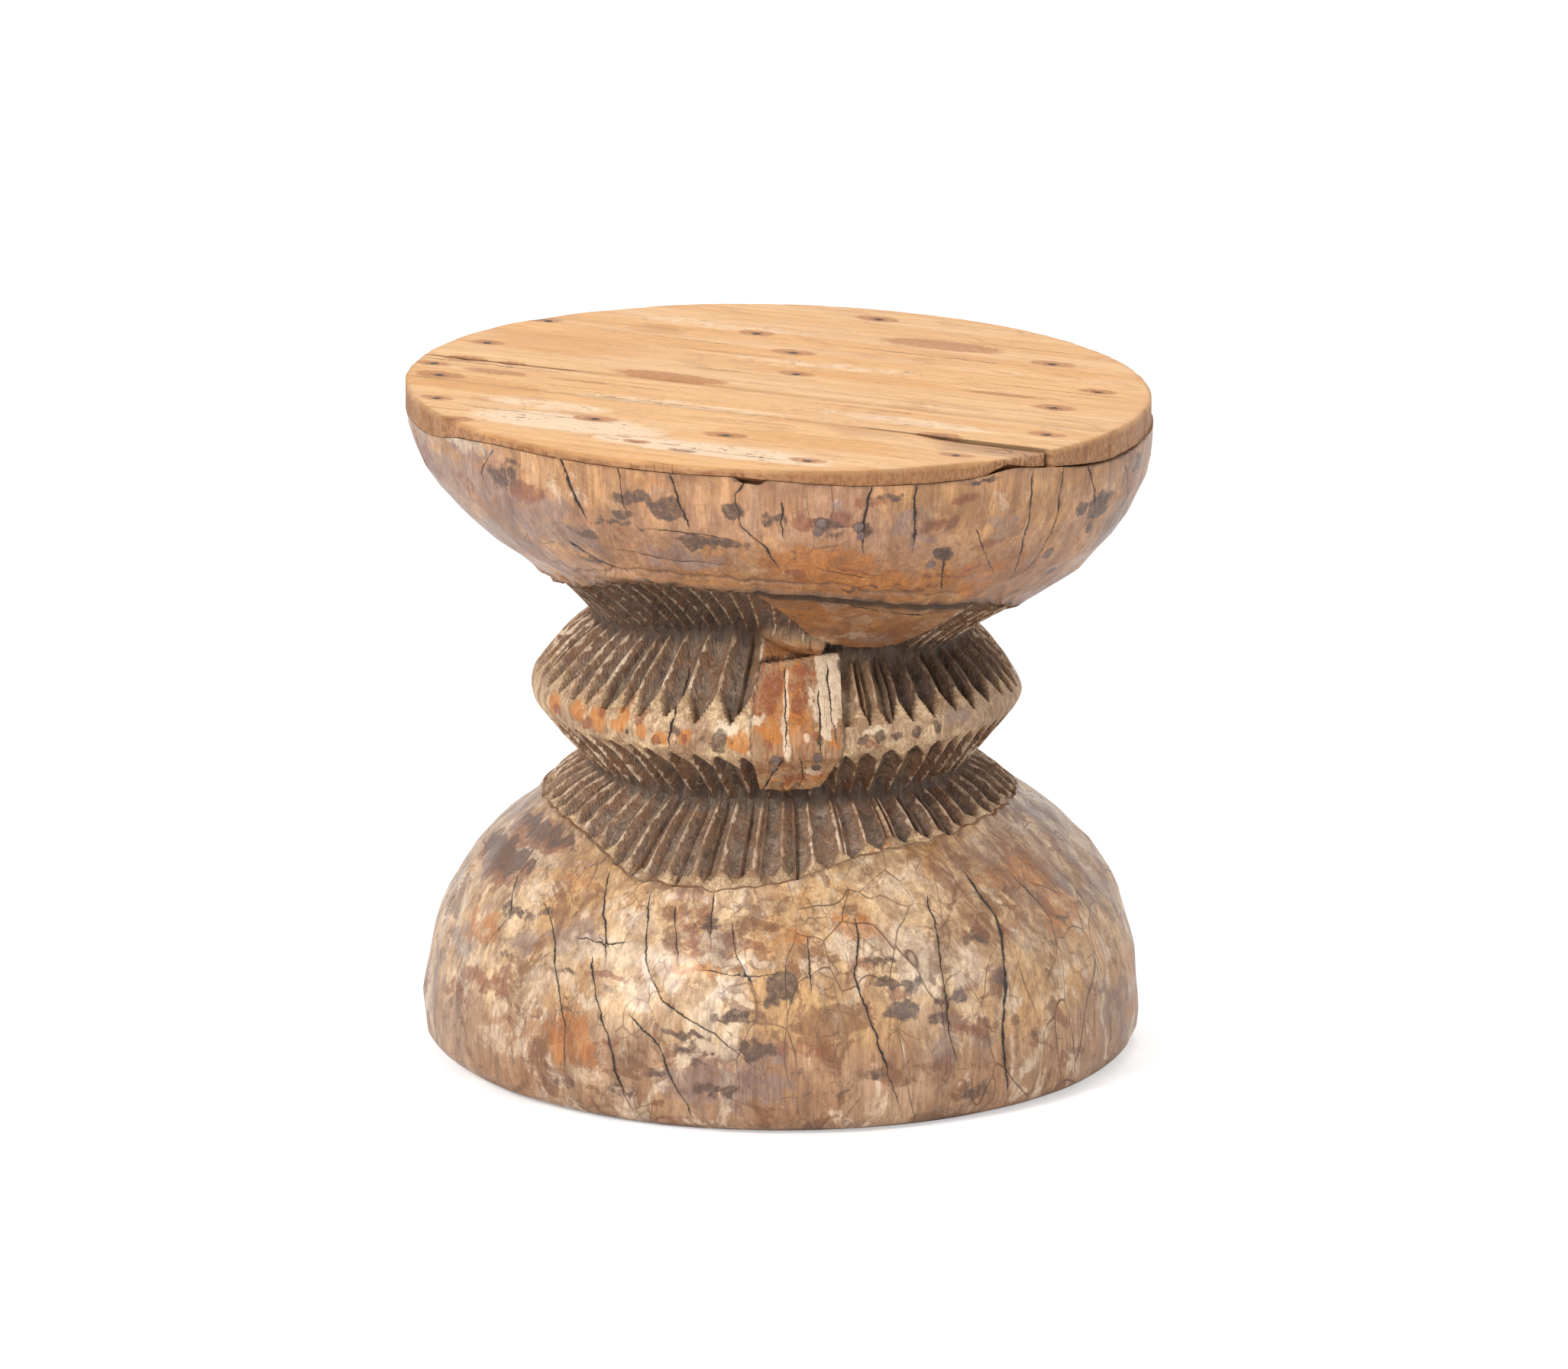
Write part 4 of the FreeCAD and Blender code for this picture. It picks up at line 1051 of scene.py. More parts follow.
def build_bowl(materials):
    """The wide upper part of the log, from under the boards to its lower lip."""
    top = RIM_TOP + around(RIM_LIFT, 2.0) - rim_gap(AZ)
    lip = around(LIP) + 1.0 * waves(AZ, 0, 9, 24, 110, 100)
    share = (np.linspace(0, 1, BOWL_ROWS) ** 1.02)[:, None]
    level = top + (lip - top) * share
    azimuth = np.broadcast_to(AZ, level.shape)
    radius, middle = bowl_surface(level, azimuth)
    points = place(radius, middle, azimuth, level)
    normal = surface_normals(points)
    fade = window(share, 0.0, 0.06, 1.0, 0.97)
    dents = 0.9 * waves(azimuth, level, 3, 16, 9, 90) + 0.45 * waves(azimuth, level, 4, 26, 30, 30)
    cracks = list(BOWL_CRACKS) + back_cracks(11, 22, 440, 345)
    side, width = split_map(azimuth, level, cracks, 235, 1.25)
    sunk = -0.9 * trench(side, width, 1.8, 2.4)
    groove = (
        smooth(np.abs(level - lip - 9 - 1.6 * waves(azimuth, level, 8, 8, 40, 200)), 1.6, 0.0)
        * window(azimuth, -60, -30, 36, 20)
    )
    push = (dents - 0.6) * fade + sunk - 1.5 * groove * smooth(share, 1.0, 0.97)
    fringe = window(azimuth, -112, -92, -42, -56) * smooth(level - lip, 10.0, 0.0)
    frayed = waves(azimuth, level, 16, 30, 130, 14)
    push += fringe * 2.2 * frayed
    points = points + normal * push[..., None]
    lip_in = points[-1] * np.array([0.972, 0.972, 1.0]) - np.array([0, 0, 1.2])
    joint, throat = plain_ring(JOINT_RADIUS, BOWL_JOINT), plain_ring(THROAT_RADIUS, CHAMBER_LEVEL)
    chamber, mouth = plain_ring(CHAMBER_RADIUS, CHAMBER_LEVEL), plain_ring(MOUTH_RADIUS, MOUTH_LEVEL)
    inside = [
        (lip_in, joint, 4), (joint, plain_ring(THROAT_RADIUS, BOWL_JOINT), 2),
        (plain_ring(THROAT_RADIUS, BOWL_JOINT), throat, 2), (throat, chamber, 6),
        (chamber, mouth, 8), (mouth, rim_ring(0.0), 6),
        (rim_ring(0.0), rim_ring(0.7), 3), (rim_ring(0.7), rim_ring(0.985), 4),
    ]
    inner = hollow_rows(inside[1:6], 1.6, 21)
    inner = np.concatenate([run_down(*inside[0]), inner, run_down(*inside[6]), run_down(*inside[7])])
    values = patch_maps(azimuth, level, BOWL_PATCHES, 12, 42, 345, 438)
    # Painted shade: under the boards' edge, under the lip, in the groove above it, in the frayed fringe and round the
    # pegs.
    seam = smooth(top - level, 2.0, 0.0) * 0.8 * smooth(waves(azimuth, 0, 17, 20, 60, 100), -1.0, 0.5)
    marks = [seam, smooth(level - lip, 3.2, 0.3) * 0.9, 0.8 * groove, 0.7 * fringe * smooth(frayed, 0.3, -0.4)]
    values["painted_shade"] = np.clip(np.max(marks, axis=0), 0, 0.9)
    for solid in loose_parts("skin_pegs"):
        x, y, z = (solid.min(0) + solid.max(0)) / 2
        turn = wrapped(azimuth - math.degrees(math.atan2(x, -y)))
        away = np.hypot(turn * DEG * radius, (level - z) * 1.15)
        lift_value(values, "painted_shade", 0.9 * smooth(away, 6.0, 3.6))
        lift_value(values, "dark", 0.75 * smooth(away, 11.0, 4.0))
    # Darker and more orange towards the lip, most at the front and right: partly the bowl's own colour, partly painted
    # shade where it turns under.
    values["low"] = (
        smooth(lip + 44 - level + 10 * waves(azimuth, level, 15, 14, 12, 200), -22, 22)
        * (0.25 + 0.75 * window(azimuth, -38, -12, 75, 50))
    )
    values["split_side"], values["split_width"] = side, width
    attach(closed_body("carved_bowl", points, inner, values, materials), "drum_shell")
    return points[-1], lip_in


def flute_field(name, seed, down, shape):
    """Depth share and ridge nearness of a band of flutes; down runs from 0 at its top to 1."""
    share, depth, thread = flute_places(name, seed)
    hollowness = 1 - np.abs(2 * share - 1)
    if shape == "tips down":
        blunt = 0.14 if name == "skirt" else 0.0
        reach = 0.70 + blunt + (0.32 - blunt) * hollowness - 0.3 * (depth - 0.93)
        tinted = smooth(reach[None] - down, 0.0, 0.06)
        live = tinted * smooth(down, 0.0, 0.06)
    elif shape == "teeth up":
        start = 0.19 * np.abs(2 * share - 0.6)
        tinted = smooth(down - start[None], 0.0, 0.05)
        live = tinted * smooth(1.0 - down, 0.0, 0.10)
    else:
        tinted = smooth(down, 0.0, 0.04)
        live = smooth(down, 0.02, 0.08) * smooth(1.0 - down, 0.0, 0.06)
    return live, tinted, np.maximum(np.abs(2 * share - 1), thread), depth


def build_waist(materials, lip_in, sizes):
    """The carved waist: four bands of flutes, the belly, the front panel and the tongue above it."""
    belly_top, belly_bottom = around(BELLY_TOP, 3), around(BELLY_BOTTOM, 3)
    neck_u = around(UPPER_NECK, 2.0, shift=3.0)
    neck_l = around(LOWER_NECK, 3, shift=1.5)
    skirt = around(SKIRT, 2.0) + 0.9 * waves(AZ, 0, 10, 24, 90, 100)
    skirt_r, skirt_middle = lookup(skirt, DOME, 1) - 1.4, lookup(skirt, DOME, 2)
    rings = [
        lip_in, place(NECK_RADIUS, 2.5, AZ + 3.0, neck_u), place(BELLY_RADIUS, -0.8, AZ + 1.5, belly_top),
        place(BELLY_RADIUS - 0.5, -0.8, AZ, belly_bottom), place(NECK_RADIUS + 2, 0.5, AZ + 1.5, neck_l),
        place(skirt_r, skirt_middle, AZ, skirt),
    ]
    rows, band, down = [], [], []
    for number, count in enumerate(WAIST_ROWS):
        rows.append(run_down(rings[number], rings[number + 1], count))
        band += [number] * count
        down += list(np.linspace(0, 1, count, endpoint=False))
    rows.append(rings[5][None])
    band.append(4)
    down.append(1.0)
    points = np.concatenate(rows)
    band, down = np.array(band)[:, None], np.array(down)[:, None]
    azimuth = bearing(points)
    level = points[..., 2]
    normal = surface_normals(points)
    # The belly swells a little between its edges, and each band bows outward.
    bow = np.array([-1.5, 3.0, 2.2, 0.5, 2.5])[band]
    push = bow * np.sin(math.pi * down) * np.ones_like(azimuth)
    flute, ridge, tone = np.zeros_like(azimuth), np.zeros_like(azimuth), np.zeros_like(azimuth)
    bands = (
        (0, "under_bowl", 31, "even", sizes.under_bowl_flute_depth),
        (1, "ring", 32, "tips down", sizes.ring_flute_depth),
        (3, "ring_under", 33, "teeth up", sizes.ring_under_flute_depth),
        (4, "skirt", 34, "tips down", sizes.skirt_flute_depth),
    )
    for number, name, seed, shape, depth in bands:
        here = band[:, 0] == number
        live, tinted, near, own = flute_field(name, seed, down[here], shape)
        live, tinted = (np.broadcast_to(grid, (here.sum(), COLUMNS)) for grid in (live, tinted))
        fade = 1.0 + 0.0 * live
        if number == 0:
            fade = 1 - 0.45 * window(azimuth[here], -30, -50, -120, -100)
        neck = smooth(down[here], 0.0, 0.25) if number in (1, 4) else smooth(1 - down[here], 0.0, 0.25)
        cut = live * (1 - near ** 2) * own * (0.55 + 0.45 * neck) * fade
        push[here] -= cut * depth / MM
        flute[here] = tinted
        ridge[here] = near * {"under_bowl": 0.97, "ring_under": 0.96}.get(name, 1.0)
        tone[here] = (own - 0.72) / 0.43 * 0.5 + {0: -0.15, 1: 0.0, 3: -0.25, 4: 0.66}[number]
    push += 0.5 * waves(azimuth, level, 41, 24, 26, 40)
    # The front panel is left standing: it fills both necks and hides the flutes.
    left = np.interp(level, (208, 232, 255, 292), (-5.0, -6.0, -6.2, -5.2)) + 0.3 * waves(level, 0, 47, 8, 60, 100)
    right = (
        np.interp(level, (208, 222, 240, 255, 292), (11.0, 13.6, 15.4, 15.8, 18.0))
        + 0.3 * waves(level, 0, 48, 8, 60, 100)
    )
    panel = smooth(azimuth, left - 0.4, left + 0.5) * smooth(azimuth, right + 0.5, right - 0.4)
    panel *= (
        smooth(level + waves(azimuth, 0, 49, 8, 60, 100), 205.0, 213.0) * smooth(level, 294.0, 291.5) * (band >= 1)
    )
    proud = 1.6 + np.where(band == 1, 9.0 * (1 - down) ** 1.5, np.where(band == 3, 6.5 * down ** 1.5, 0.0))
    proud = proud + 0.35 * waves(azimuth, level, 44, 10, 20, 60)
    push = push * (1 - panel) + proud * panel
    # The tongue of the bowl hangs over the neck, with a lobe beside it.
    edge = np.interp(azimuth, *zip(*TONGUE_EDGE))
    tongue = smooth(level - edge, -1.0, 1.5) * window(azimuth, -8.0, -6.0, 41.0, 38.5) * (band == 0)
    lobe = (
        window(azimuth, -6.0, -3.0, 15.0, 12.0)
        * smooth(level - edge * 0.12, 272.0, 269.0)
        * smooth(level, 294.0, 296.0)
        * (band <= 1)
    )
    under = window(azimuth, -4.0, -1.0, 42.0, 38.0) * (band == 0)
    push = push * (1 - tongue) + tongue * (1.8 + 0.8 * waves(azimuth, level, 45, 8, 10, 80))
    push = push * (1 - lobe * (1 - tongue)) + lobe * (1 - tongue) * 2.0
    push -= 3.5 * under * (1 - tongue) * (1 - lobe) * smooth(down, 0.1, 0.5)
    weather = window(azimuth, 16, 18.5, 31, 27) * (band == 1)
    smooth_parts = np.maximum(np.maximum(panel, tongue), lobe)
    flute = flute * (1 - smooth_parts) * (1 - 0.55 * weather)
    push += 1.2 * weather * waves(azimuth, level, 46, 30, 60, 18)
    side, width = split_map(azimuth, level, WAIST_CRACKS, 150, 1.3)
    push -= 1.2 * trench(side, width, 1.5, 2.2)
    pinned = np.ones_like(push)
    pinned[0] = 0.0
    points = points + normal * (push * pinned)[..., None]
    # Painted shade: in the creases where the bands meet, along the cut lines round the tongue and panel, under the
    # bowl's lip, on the left of the under-bowl flutes, on the right of the skirt and on the ring's flutes round the
    # right side.
    crevice_shade = ((band == 0) | (band == 3)) * smooth(down, 0.72, 1.0)
    crevice_shade = crevice_shade + (band == 1) * smooth(1 - down, 0.82, 1.0) + (band == 4) * smooth(1 - down, 0.84, 1.0)
    crevice_shade = crevice_shade * (1 - smooth_parts) * 0.62
    rim = smooth(np.abs(level - edge), 2.2, 0.0) * window(azimuth, -8, -6, 39, 37) * (band == 0)
    slit = smooth(np.abs(level - 292.5), 2.0, 0.2) * window(azimuth, -6, -3, 19, 16)
    foot = smooth(np.abs(level - 206.5), 2.6, 0.3) * window(azimuth, -6, -3, 15, 12)
    outline = panel * (1 - panel) * 3.2
    under_lip_shade = np.where(band == 0, smooth(down, 0.10, 0.02) * 0.9, 0.0)
    values = patch_maps(azimuth, level, WAIST_PATCHES, 52, 60, 160, 300)
    values["painted_shade"] = np.clip(crevice_shade + 0.85 * rim + 0.9 * slit + 0.7 * foot + outline + under_lip_shade, 0, 0.92)
    lift_value(values, "painted_shade", 0.5 * flute * window(azimuth, 17, 30, 100, 75) * (band == 1))
    shaded = 0.34 * (band == 0) * smooth(azimuth, -4, -22) + 0.2 * (band == 4) * smooth(azimuth, 18, 40) * flute
    lift_value(values, "painted_shade", shaded * (1 - smooth_parts))
    values["flute"], values["ridge"] = flute, ridge
    # The flutes' tone is lighter round the left side and darker round the right.
    right_side = smooth(azimuth, 18, 34)
    left_side = window(azimuth, -28, -52, -150, -110)
    values["tone"] = np.clip(
        tone - 0.45 * right_side + 0.2 * left_side + 0.1 + (band == 4) * (0.45 * left_side - 0.3 * right_side), 0, 1
    )
    values["tongue"] = np.maximum(tongue, lobe)
    values["panel"] = panel
    values["split_side"], values["split_width"] = side, width
    bottom = points[-1]
    inner_corner = plain_ring(SHOULDER_RADIUS, WAIST_SHOULDER)
    low, high = plain_ring(THROAT_RADIUS, WAIST_SHOULDER), plain_ring(THROAT_RADIUS, WAIST_JOINT)
    joint = plain_ring(JOINT_RADIUS, WAIST_JOINT)
    inside = [
        run_down(bottom, inner_corner, 3)[1:],
        hollow_rows([(inner_corner, low, 3), (low, high, 5), (high, joint, 1)], 1.2, 22),
        run_down(joint, lip_in - np.array([0, 0, 0.4]), 3),
    ]
    attach(closed_body("carved_waist", points, np.concatenate(inside), values, materials), "drum_shell")
    return bottom, skirt


def build_foot(materials, skirt_ring, skirt):
    """The domed foot that the table stands on."""
    share = np.linspace(0, 1, FOOT_ROWS)[:, None]
    lift = np.interp(AZ, (-180, -95, -72, -50, -20, 30, 60, 180), (1.5, 2.5, 5.0, 1.5, 0.0, 0.0, 1.0, 1.5))
    top = skirt - 0.8
    bend = share ** 0.93
    level = top * (1 - bend) + lift * bend
    azimuth = np.broadcast_to(AZ, level.shape)
    radius, middle = lookup(level - lift * bend * 0.9, DOME, 1), lookup(level, DOME, 2)
    points = place(radius, middle, azimuth, level)
    normal = surface_normals(points)
    dents = 1.1 * waves(azimuth, level, 61, 16, 9, 90) + 0.75 * waves(azimuth, level, 62, 30, 34, 34)
    fade = window(share, 0.0, 0.03, 1.0, 0.95)
    cracks = list(FOOT_CRACKS) + back_cracks(13, 30, 155, 10)
    side, width = split_map(azimuth, level, cracks, 228, 1.12)
    sunk = -0.9 * trench(side, width, 1.8, 2.4)
    ledge = 0.5 * smooth(top - level, 6.0, 0.0) * waves(azimuth, level, 63, 30, 110, 30)
    points = points + normal * ((dents - 1.2) * fade + sunk + ledge * smooth(share, 0.0, 0.01))[..., None]
    points[..., 2] = np.maximum(points[..., 2], 0.0)
    rounded = points[-1].copy()
    rounded[:, :2] *= 0.985
    rounded[:, 2] = 0.0
    floor, foot = plain_ring(FOOT_RADIUS, 0), plain_ring(FOOT_RADIUS, FOOT_LEVEL)
    shoulder, joint = plain_ring(SHOULDER_RADIUS, FOOT_SHOULDER), skirt_ring - np.array([0, 0, 0.3])
    inner = [
        run_down(points[-1], rounded, 2)[1:], run_down(rounded, floor, 3),
        hollow_rows([(floor, foot, 10), (foot, shoulder, 6)], -1.2, 23),
        run_down(shoulder, joint, 4), joint[None],
    ]
    values = patch_maps(azimuth, level, FOOT_PATCHES, 14, 46, 15, 155)
    # Painted shade: a dark line along the floor at the front right, and a broken line under the skirt's step.
    under = smooth(level - lift, 3.5, 0.0) * 0.6 * smooth(azimuth, -5, 25)
    values["painted_shade"] = np.maximum(
        under, smooth(top - level, 0.7, 0.1) * 0.7 * smooth(waves(azimuth, level, 64, 40, 160, 60), 0.3, 0.7)
    )
    values["feather"] = window(azimuth, 24, 38, 110, 80) * smooth(level, 98, 118)
    lift_value(values, "feather", 0.5 * smooth(level, 118, 136) * window(azimuth, -90, -70, -30, -50))
    values["low"] = smooth(62 - level + 12 * waves(azimuth, level, 65, 14, 12, 200), -12, 12)
    values["split_side"], values["split_width"] = side, width
    attach(closed_body("domed_foot", points, np.concatenate(inner), values, materials), "drum_shell")


ALONG = np.array([math.cos(BOARD_TURN * DEG), -math.sin(BOARD_TURN * DEG)])
ACROSS = np.array([-ALONG[1], ALONG[0]])


def worn_oval(azimuth, low):
    """Reach of the top's edge, knocked back unevenly, and further at the front board's broken end."""
    worn = 0.7 + 0.5 * np.abs(waves(azimuth, 0, 71, 12, 40, 100)) + 0.5 * np.abs(waves(azimuth, 0, 72, 20, 150, 100))
    turn = wrapped(azimuth)
    worn = worn + 2.2 * smooth(np.abs(turn - 36), 4.5, 2.0) + 1.4 * smooth(np.abs(turn + 22), 3.0, 1.0)
    if low < -200:
        worn = worn + 4.0 * window(turn, 31.0, 42.0, 50.0, 46.0)
    return oval(TOP_HALF, TOP_SPREAD, azimuth) - worn


def board_frame(low, high):
    """The loop of one board as (azimuth, along, seam) rows: seam is 0 on the worn edge, -1 low, 1 high."""
    azimuth = np.arange(0, FULL_TURN, 0.75)
    reach = worn_oval(azimuth, low)
    along, height = board_axes(reach * np.sin(azimuth * DEG), -reach * np.cos(azimuth * DEG))
    inside = (height > low + 0.3) & (height < high - 0.3)
    rows = []
    for index in range(len(azimuth)):
        following = (index + 1) % len(azimuth)
        if inside[index]:
            rows.append((azimuth[index], along[index], 0))
        if inside[index] and not inside[following]:
            seam = -1 if height[following] < height[index] else 1
            line = low if seam < 0 else high
            chord = [a for a, h, g in zip(along, height, np.roll(height, -1)) if (h - line) * (g - line) <= 0]
            first, last = along[index], max(chord, key=lambda a: abs(a - along[index]))
            rows += [
                (azimuth[index], a, seam) for a in np.linspace(first, last, max(3, int(abs(last - first) // 3.2)))
            ]
    return np.array(rows)


def board_ring(rows, low, high, distance, half_gap):
    """Points of a board's loop moved inward, its seams much less than its worn edge."""
    dense = np.arange(0, FULL_TURN, 0.5)
    reach = worn_oval(dense, low) - distance
    points = np.stack([reach * np.sin(dense * DEG), -reach * np.cos(dense * DEG)], 1)
    along, height = points @ ALONG, points @ ACROSS
    limits = []
    for half in (along < 0, along > 0):
        order = np.argsort(height[half])
        limits.append((height[half][order], along[half][order]))
    azimuth, start, seam = rows.T
    reach = worn_oval(azimuth, low) - distance
    own = np.stack([reach * np.sin(azimuth * DEG), -reach * np.cos(azimuth * DEG)], 1)
    u = np.where(seam == 0, own @ ALONG, start)
    low_edge = low + 0.12 + half_gap * seam_open(u, low) + distance * (0.10 + 0.4 * seam_open(u, low))
    high_edge = high - 0.12 - half_gap * seam_open(u, high) - distance * (0.10 + 0.4 * seam_open(u, high))
    w = np.clip(np.where(seam == 0, own @ ACROSS, np.where(seam < 0, low_edge, high_edge)), low_edge, high_edge)
    u = np.clip(u, np.interp(w, *limits[0]), np.interp(w, *limits[1]))
    return u[:, None] * ALONG + w[:, None] * ACROSS


def seam_open(along, line):
    """Where a seam gapes: the rear one at its left end, the front one at its right end."""
    if line > -50:
        return 0.08 + smooth(along, -128.0, -150.0)
    return 0.08 + smooth(along, 96.0, 118.0) + 0.25 * smooth(along, -190.0, -215.0)


def board_axes(x, y):
    """Places along and across the boards."""
    return x * ALONG[0] + y * ALONG[1], x * ACROSS[0] + y * ACROSS[1]


def board_top(x, y):
    """How far the top's face lies below its highest level."""
    u, w = board_axes(x, y)
    sag = 0.35 + 0.25 * np.sin(u / 61.0 + w / 29.0) + 0.12 * np.sin(w / 7.5 + 1.3 * np.sin(u / 90.0))
    for spot_x, spot_y, size in SPOTS:
        sag = sag + 0.5 * np.exp(-((x - spot_x) ** 2 + (y - spot_y) ** 2) / size ** 2)
    chip = smooth(u, 135.0, 185.0) * window(w, -86.2, -86.6, -150.0, -100.0)
    return sag + 2.2 * chip


def build_board(name, low, high, half_gap, material):
    """One board of the top with worn edges, its underside following the log's rim."""
    rows = board_frame(low, high)
    lift = np.interp(wrapped(rows[:, 0]), *zip(*RIM_LIFT), period=FULL_TURN)
    wear = np.where(rows[:, 2] == 0, 1.0, 0.25)
    rings, levels = [], []
    for distance, fall in ((20, 0), (14, 0.15), (6, 0.75), (0.6, 1.0)):
        rings.append(board_ring(rows, low, high, distance, half_gap))
        levels.append(BOARD_UNDERSIDE + lift * fall)
    side_foot, side_head = BOARD_UNDERSIDE + 0.6, TOP_LEVEL - 3.4
    for share in (0.12, 0.5, 0.86):
        rings.append(board_ring(rows, low, high, 0.25 + 0.35 * abs(math.sin(9 * share)), half_gap))
        levels.append((side_foot + lift) + (side_head - side_foot - lift) * share)
    for distance, fall in ((0.6, 1.2), (1.3, 0.4), (2.8, 0.05)):
        rings.append(board_ring(rows, low, high, distance, half_gap))
        levels.append(TOP_LEVEL - fall * wear - board_top(*rings[-1].T))
    points = [np.column_stack([ring, level]) for ring, level in zip(rings, levels)]
    size = len(rows)
    faces = band_faces(0, len(points), size)
    vertices = list(np.concatenate(points))
    for ring_index, spacing, distance, is_top in ((len(points) - 1, 3.3, 2.8, True), (0, 14.0, 20, False)):
        border = rings[ring_index]
        own = [i for i in range(size) if np.linalg.norm(border[i] - border[i - 1]) > 0.05]
        reach = np.abs(border).max() + spacing
        grid_u, grid_w = np.meshgrid(np.arange(-reach, reach, spacing), np.arange(-reach, reach, spacing * 0.87))
        grid_u[1::2] += spacing / 2
        grid = grid_u.ravel()[:, None] * ALONG + grid_w.ravel()[:, None] * ACROSS
        edge = worn_oval(bearing(grid), low) - distance - np.hypot(*grid.T)
        height, margin = grid @ ACROSS, 1.0 + spacing * 0.45 + distance * 0.12
        grid = grid[(edge > spacing * 0.55) & (height > low + margin) & (height < high - margin)]
        flat = [Vector(p) for p in np.concatenate([border[own], grid])]
        ring_edges = [(index, (index + 1) % len(own)) for index in range(len(own))]
        placed, _, triangles, origin, _, _ = geometry.delaunay_2d_cdt(flat, ring_edges, [], 1, 1e-6)
        number = {}
        for index, source in enumerate(origin):
            if source and source[0] < len(own):
                number[index] = ring_index * size + own[source[0]]
            else:
                x, y = placed[index]
                number[index] = len(vertices)
                vertices.append((x, y, TOP_LEVEL - board_top(x, y) if is_top else BOARD_UNDERSIDE))
        for triangle in triangles:
            corners = tuple(number[i] for i in triangle)
            faces.append(corners if is_top else corners[::-1])
    vertices = np.array(vertices)
    vertices[:, 2] = np.minimum(vertices[:, 2], TOP_LEVEL)
    mesh = bpy.data.meshes.new(name)
    mesh.from_pydata((vertices * MM).tolist(), [], faces)
    joined = bmesh.new()
    joined.from_mesh(mesh)
    bmesh.ops.remove_doubles(joined, verts=joined.verts, dist=0.04 * MM)
    bmesh.ops.dissolve_degenerate(joined, edges=joined.edges, dist=0.01 * MM)
    bmesh.ops.recalc_face_normals(joined, faces=joined.faces)
    joined.to_mesh(mesh)
    joined.free()
    mesh.materials.append(material)
    vertices = np.empty(len(mesh.vertices) * 3)
    mesh.vertices.foreach_get("co", vertices)
    vertices = vertices.reshape(-1, 3) / MM
    x, y, z = vertices.T
    found = {kind: np.zeros(len(vertices)) for kind in PATCH_KINDS}
    u, w = board_axes(x, y)
    for kind, px, py, half_u, half_w, strength in listed(BOARD_PATCHES):
        pu, pw = board_axes(px, py)
        reach = np.hypot((u - pu) / half_u, (w - pw) / half_w)
        found[kind] = np.maximum(found[kind], np.clip(1.5 - reach, 0, 1) * strength)
    for px, py, radius in SPOTS:
        pu, pw = board_axes(px, py)
        reach = np.hypot((u - pu) / radius * 0.75, (w - pw) / radius * 1.5)
        lift_value(found, "dark", np.clip(1.35 - reach, 0, 1))
        lift_value(found, "red", np.clip(1.5 - reach / 2.0, 0, 0.8))
    low_gap, high_gap = np.abs(w - low), np.abs(w - high)
    top_gap = np.minimum(low_gap, high_gap)
    gaping = np.where(low_gap < high_gap, seam_open(u, low), seam_open(u, high))
    rim = oval(TOP_HALF, TOP_SPREAD, bearing(vertices)) - np.hypot(x, y)
    found["side"] = smooth(TOP_LEVEL - 0.6 - z, 0.8, 2.2)
    found["rim"] = smooth(rim, 5.0, 2.0) * 0.85
    # Painted shade in the seams between the boards, deepest where they gape, fading at the worn edge.
    found["painted_shade"] = (
        smooth(top_gap, 0.9 + 1.6 * np.clip(gaping, 0, 1), 0.3)
        * np.clip(0.22 + gaping, 0, 0.9)
        * smooth(rim, 1.5, 8.0)
    )
    found["split_side"], found["split_width"] = line_map(x, y, BOARD_CRACKS)
    return add_piece(name, mesh, BOARD_CREASE, found)


def loose_parts(node):
    """The separate solids of a CAD node, as arrays of points in mm."""
    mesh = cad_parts[node].data
    co = np.zeros(len(mesh.vertices) * 3, np.float32)
    mesh.vertices.foreach_get("co", co)
    co = co.reshape(-1, 3).astype(float) / MM
    parts = []
    for point in co:
        home = None
        for part in parts:
            if np.hypot(*(part[0][:2] - point[:2])) < 14 and abs(part[0][2] - point[2]) < 60:
                home = part
                break
        if home is None:
            parts.append([point])
        else:
            home.append(point)
    return [np.array(part) for part in parts]


def lathe_mesh(name, parts, material):
    """Small turned-looking parts in one mesh: each is a list of rings of points with closed ends."""
    vertices, faces = [], []
    for rings in parts:
        start, size = len(vertices), len(rings[0])
        for ring in rings:
            vertices += [tuple(point) for point in ring]
        faces += band_faces(start, len(rings), size)
        faces.append(tuple(start + index for index in reversed(range(size))))
        last = start + (len(rings) - 1) * size
        faces.append(tuple(last + index for index in range(size)))
    mesh = bpy.data.meshes.new(name)
    mesh.from_pydata((np.array(vertices) * MM).tolist(), [], faces)
    mesh.materials.append(material)
    return add_piece(name, mesh, SMALL_CREASE, {})


def build_nails(name, node, seed):
    """Hand-forged nails: an uneven domed head on a square, pointed shank."""
    draw = np.random.default_rng(seed)
    parts = []
    for solid in loose_parts(node):
        x, y = (solid[:, :2].min(0) + solid[:, :2].max(0)) / 2
        bottom = solid[:, 2].min()
        face = TOP_LEVEL - float(board_top(x, y))
        head = draw.uniform(0.86, 1.12, SMALL_SIDES) * NAIL_HEAD_RADIUS
        round_ring = circle(SMALL_SIDES)
        square = np.maximum(np.abs(round_ring[:, 0]), np.abs(round_ring[:, 1]))
        shank = round_ring / square[:, None]
        centre = np.array([x, y])
        rings = []
        for share, level in ((0.3, bottom), (1.6, bottom + 6), (2.0, face - 2.2)):
            rings.append(np.column_stack([centre + shank * share, np.full(SMALL_SIDES, level)]))
        for share, level in ((0.96, -1.5), (1.0, -0.3), (0.86, 0.25), (0.45, 0.42), (0.12, 0.44)):
            level = min(face + level, TOP_LEVEL)
            rings.append(np.column_stack([centre + round_ring * (head * share)[:, None], np.full(SMALL_SIDES, level)]))
        parts.append(rings)
    attach(lathe_mesh(name, parts, bpy.data.materials["rusted_iron"]), node)


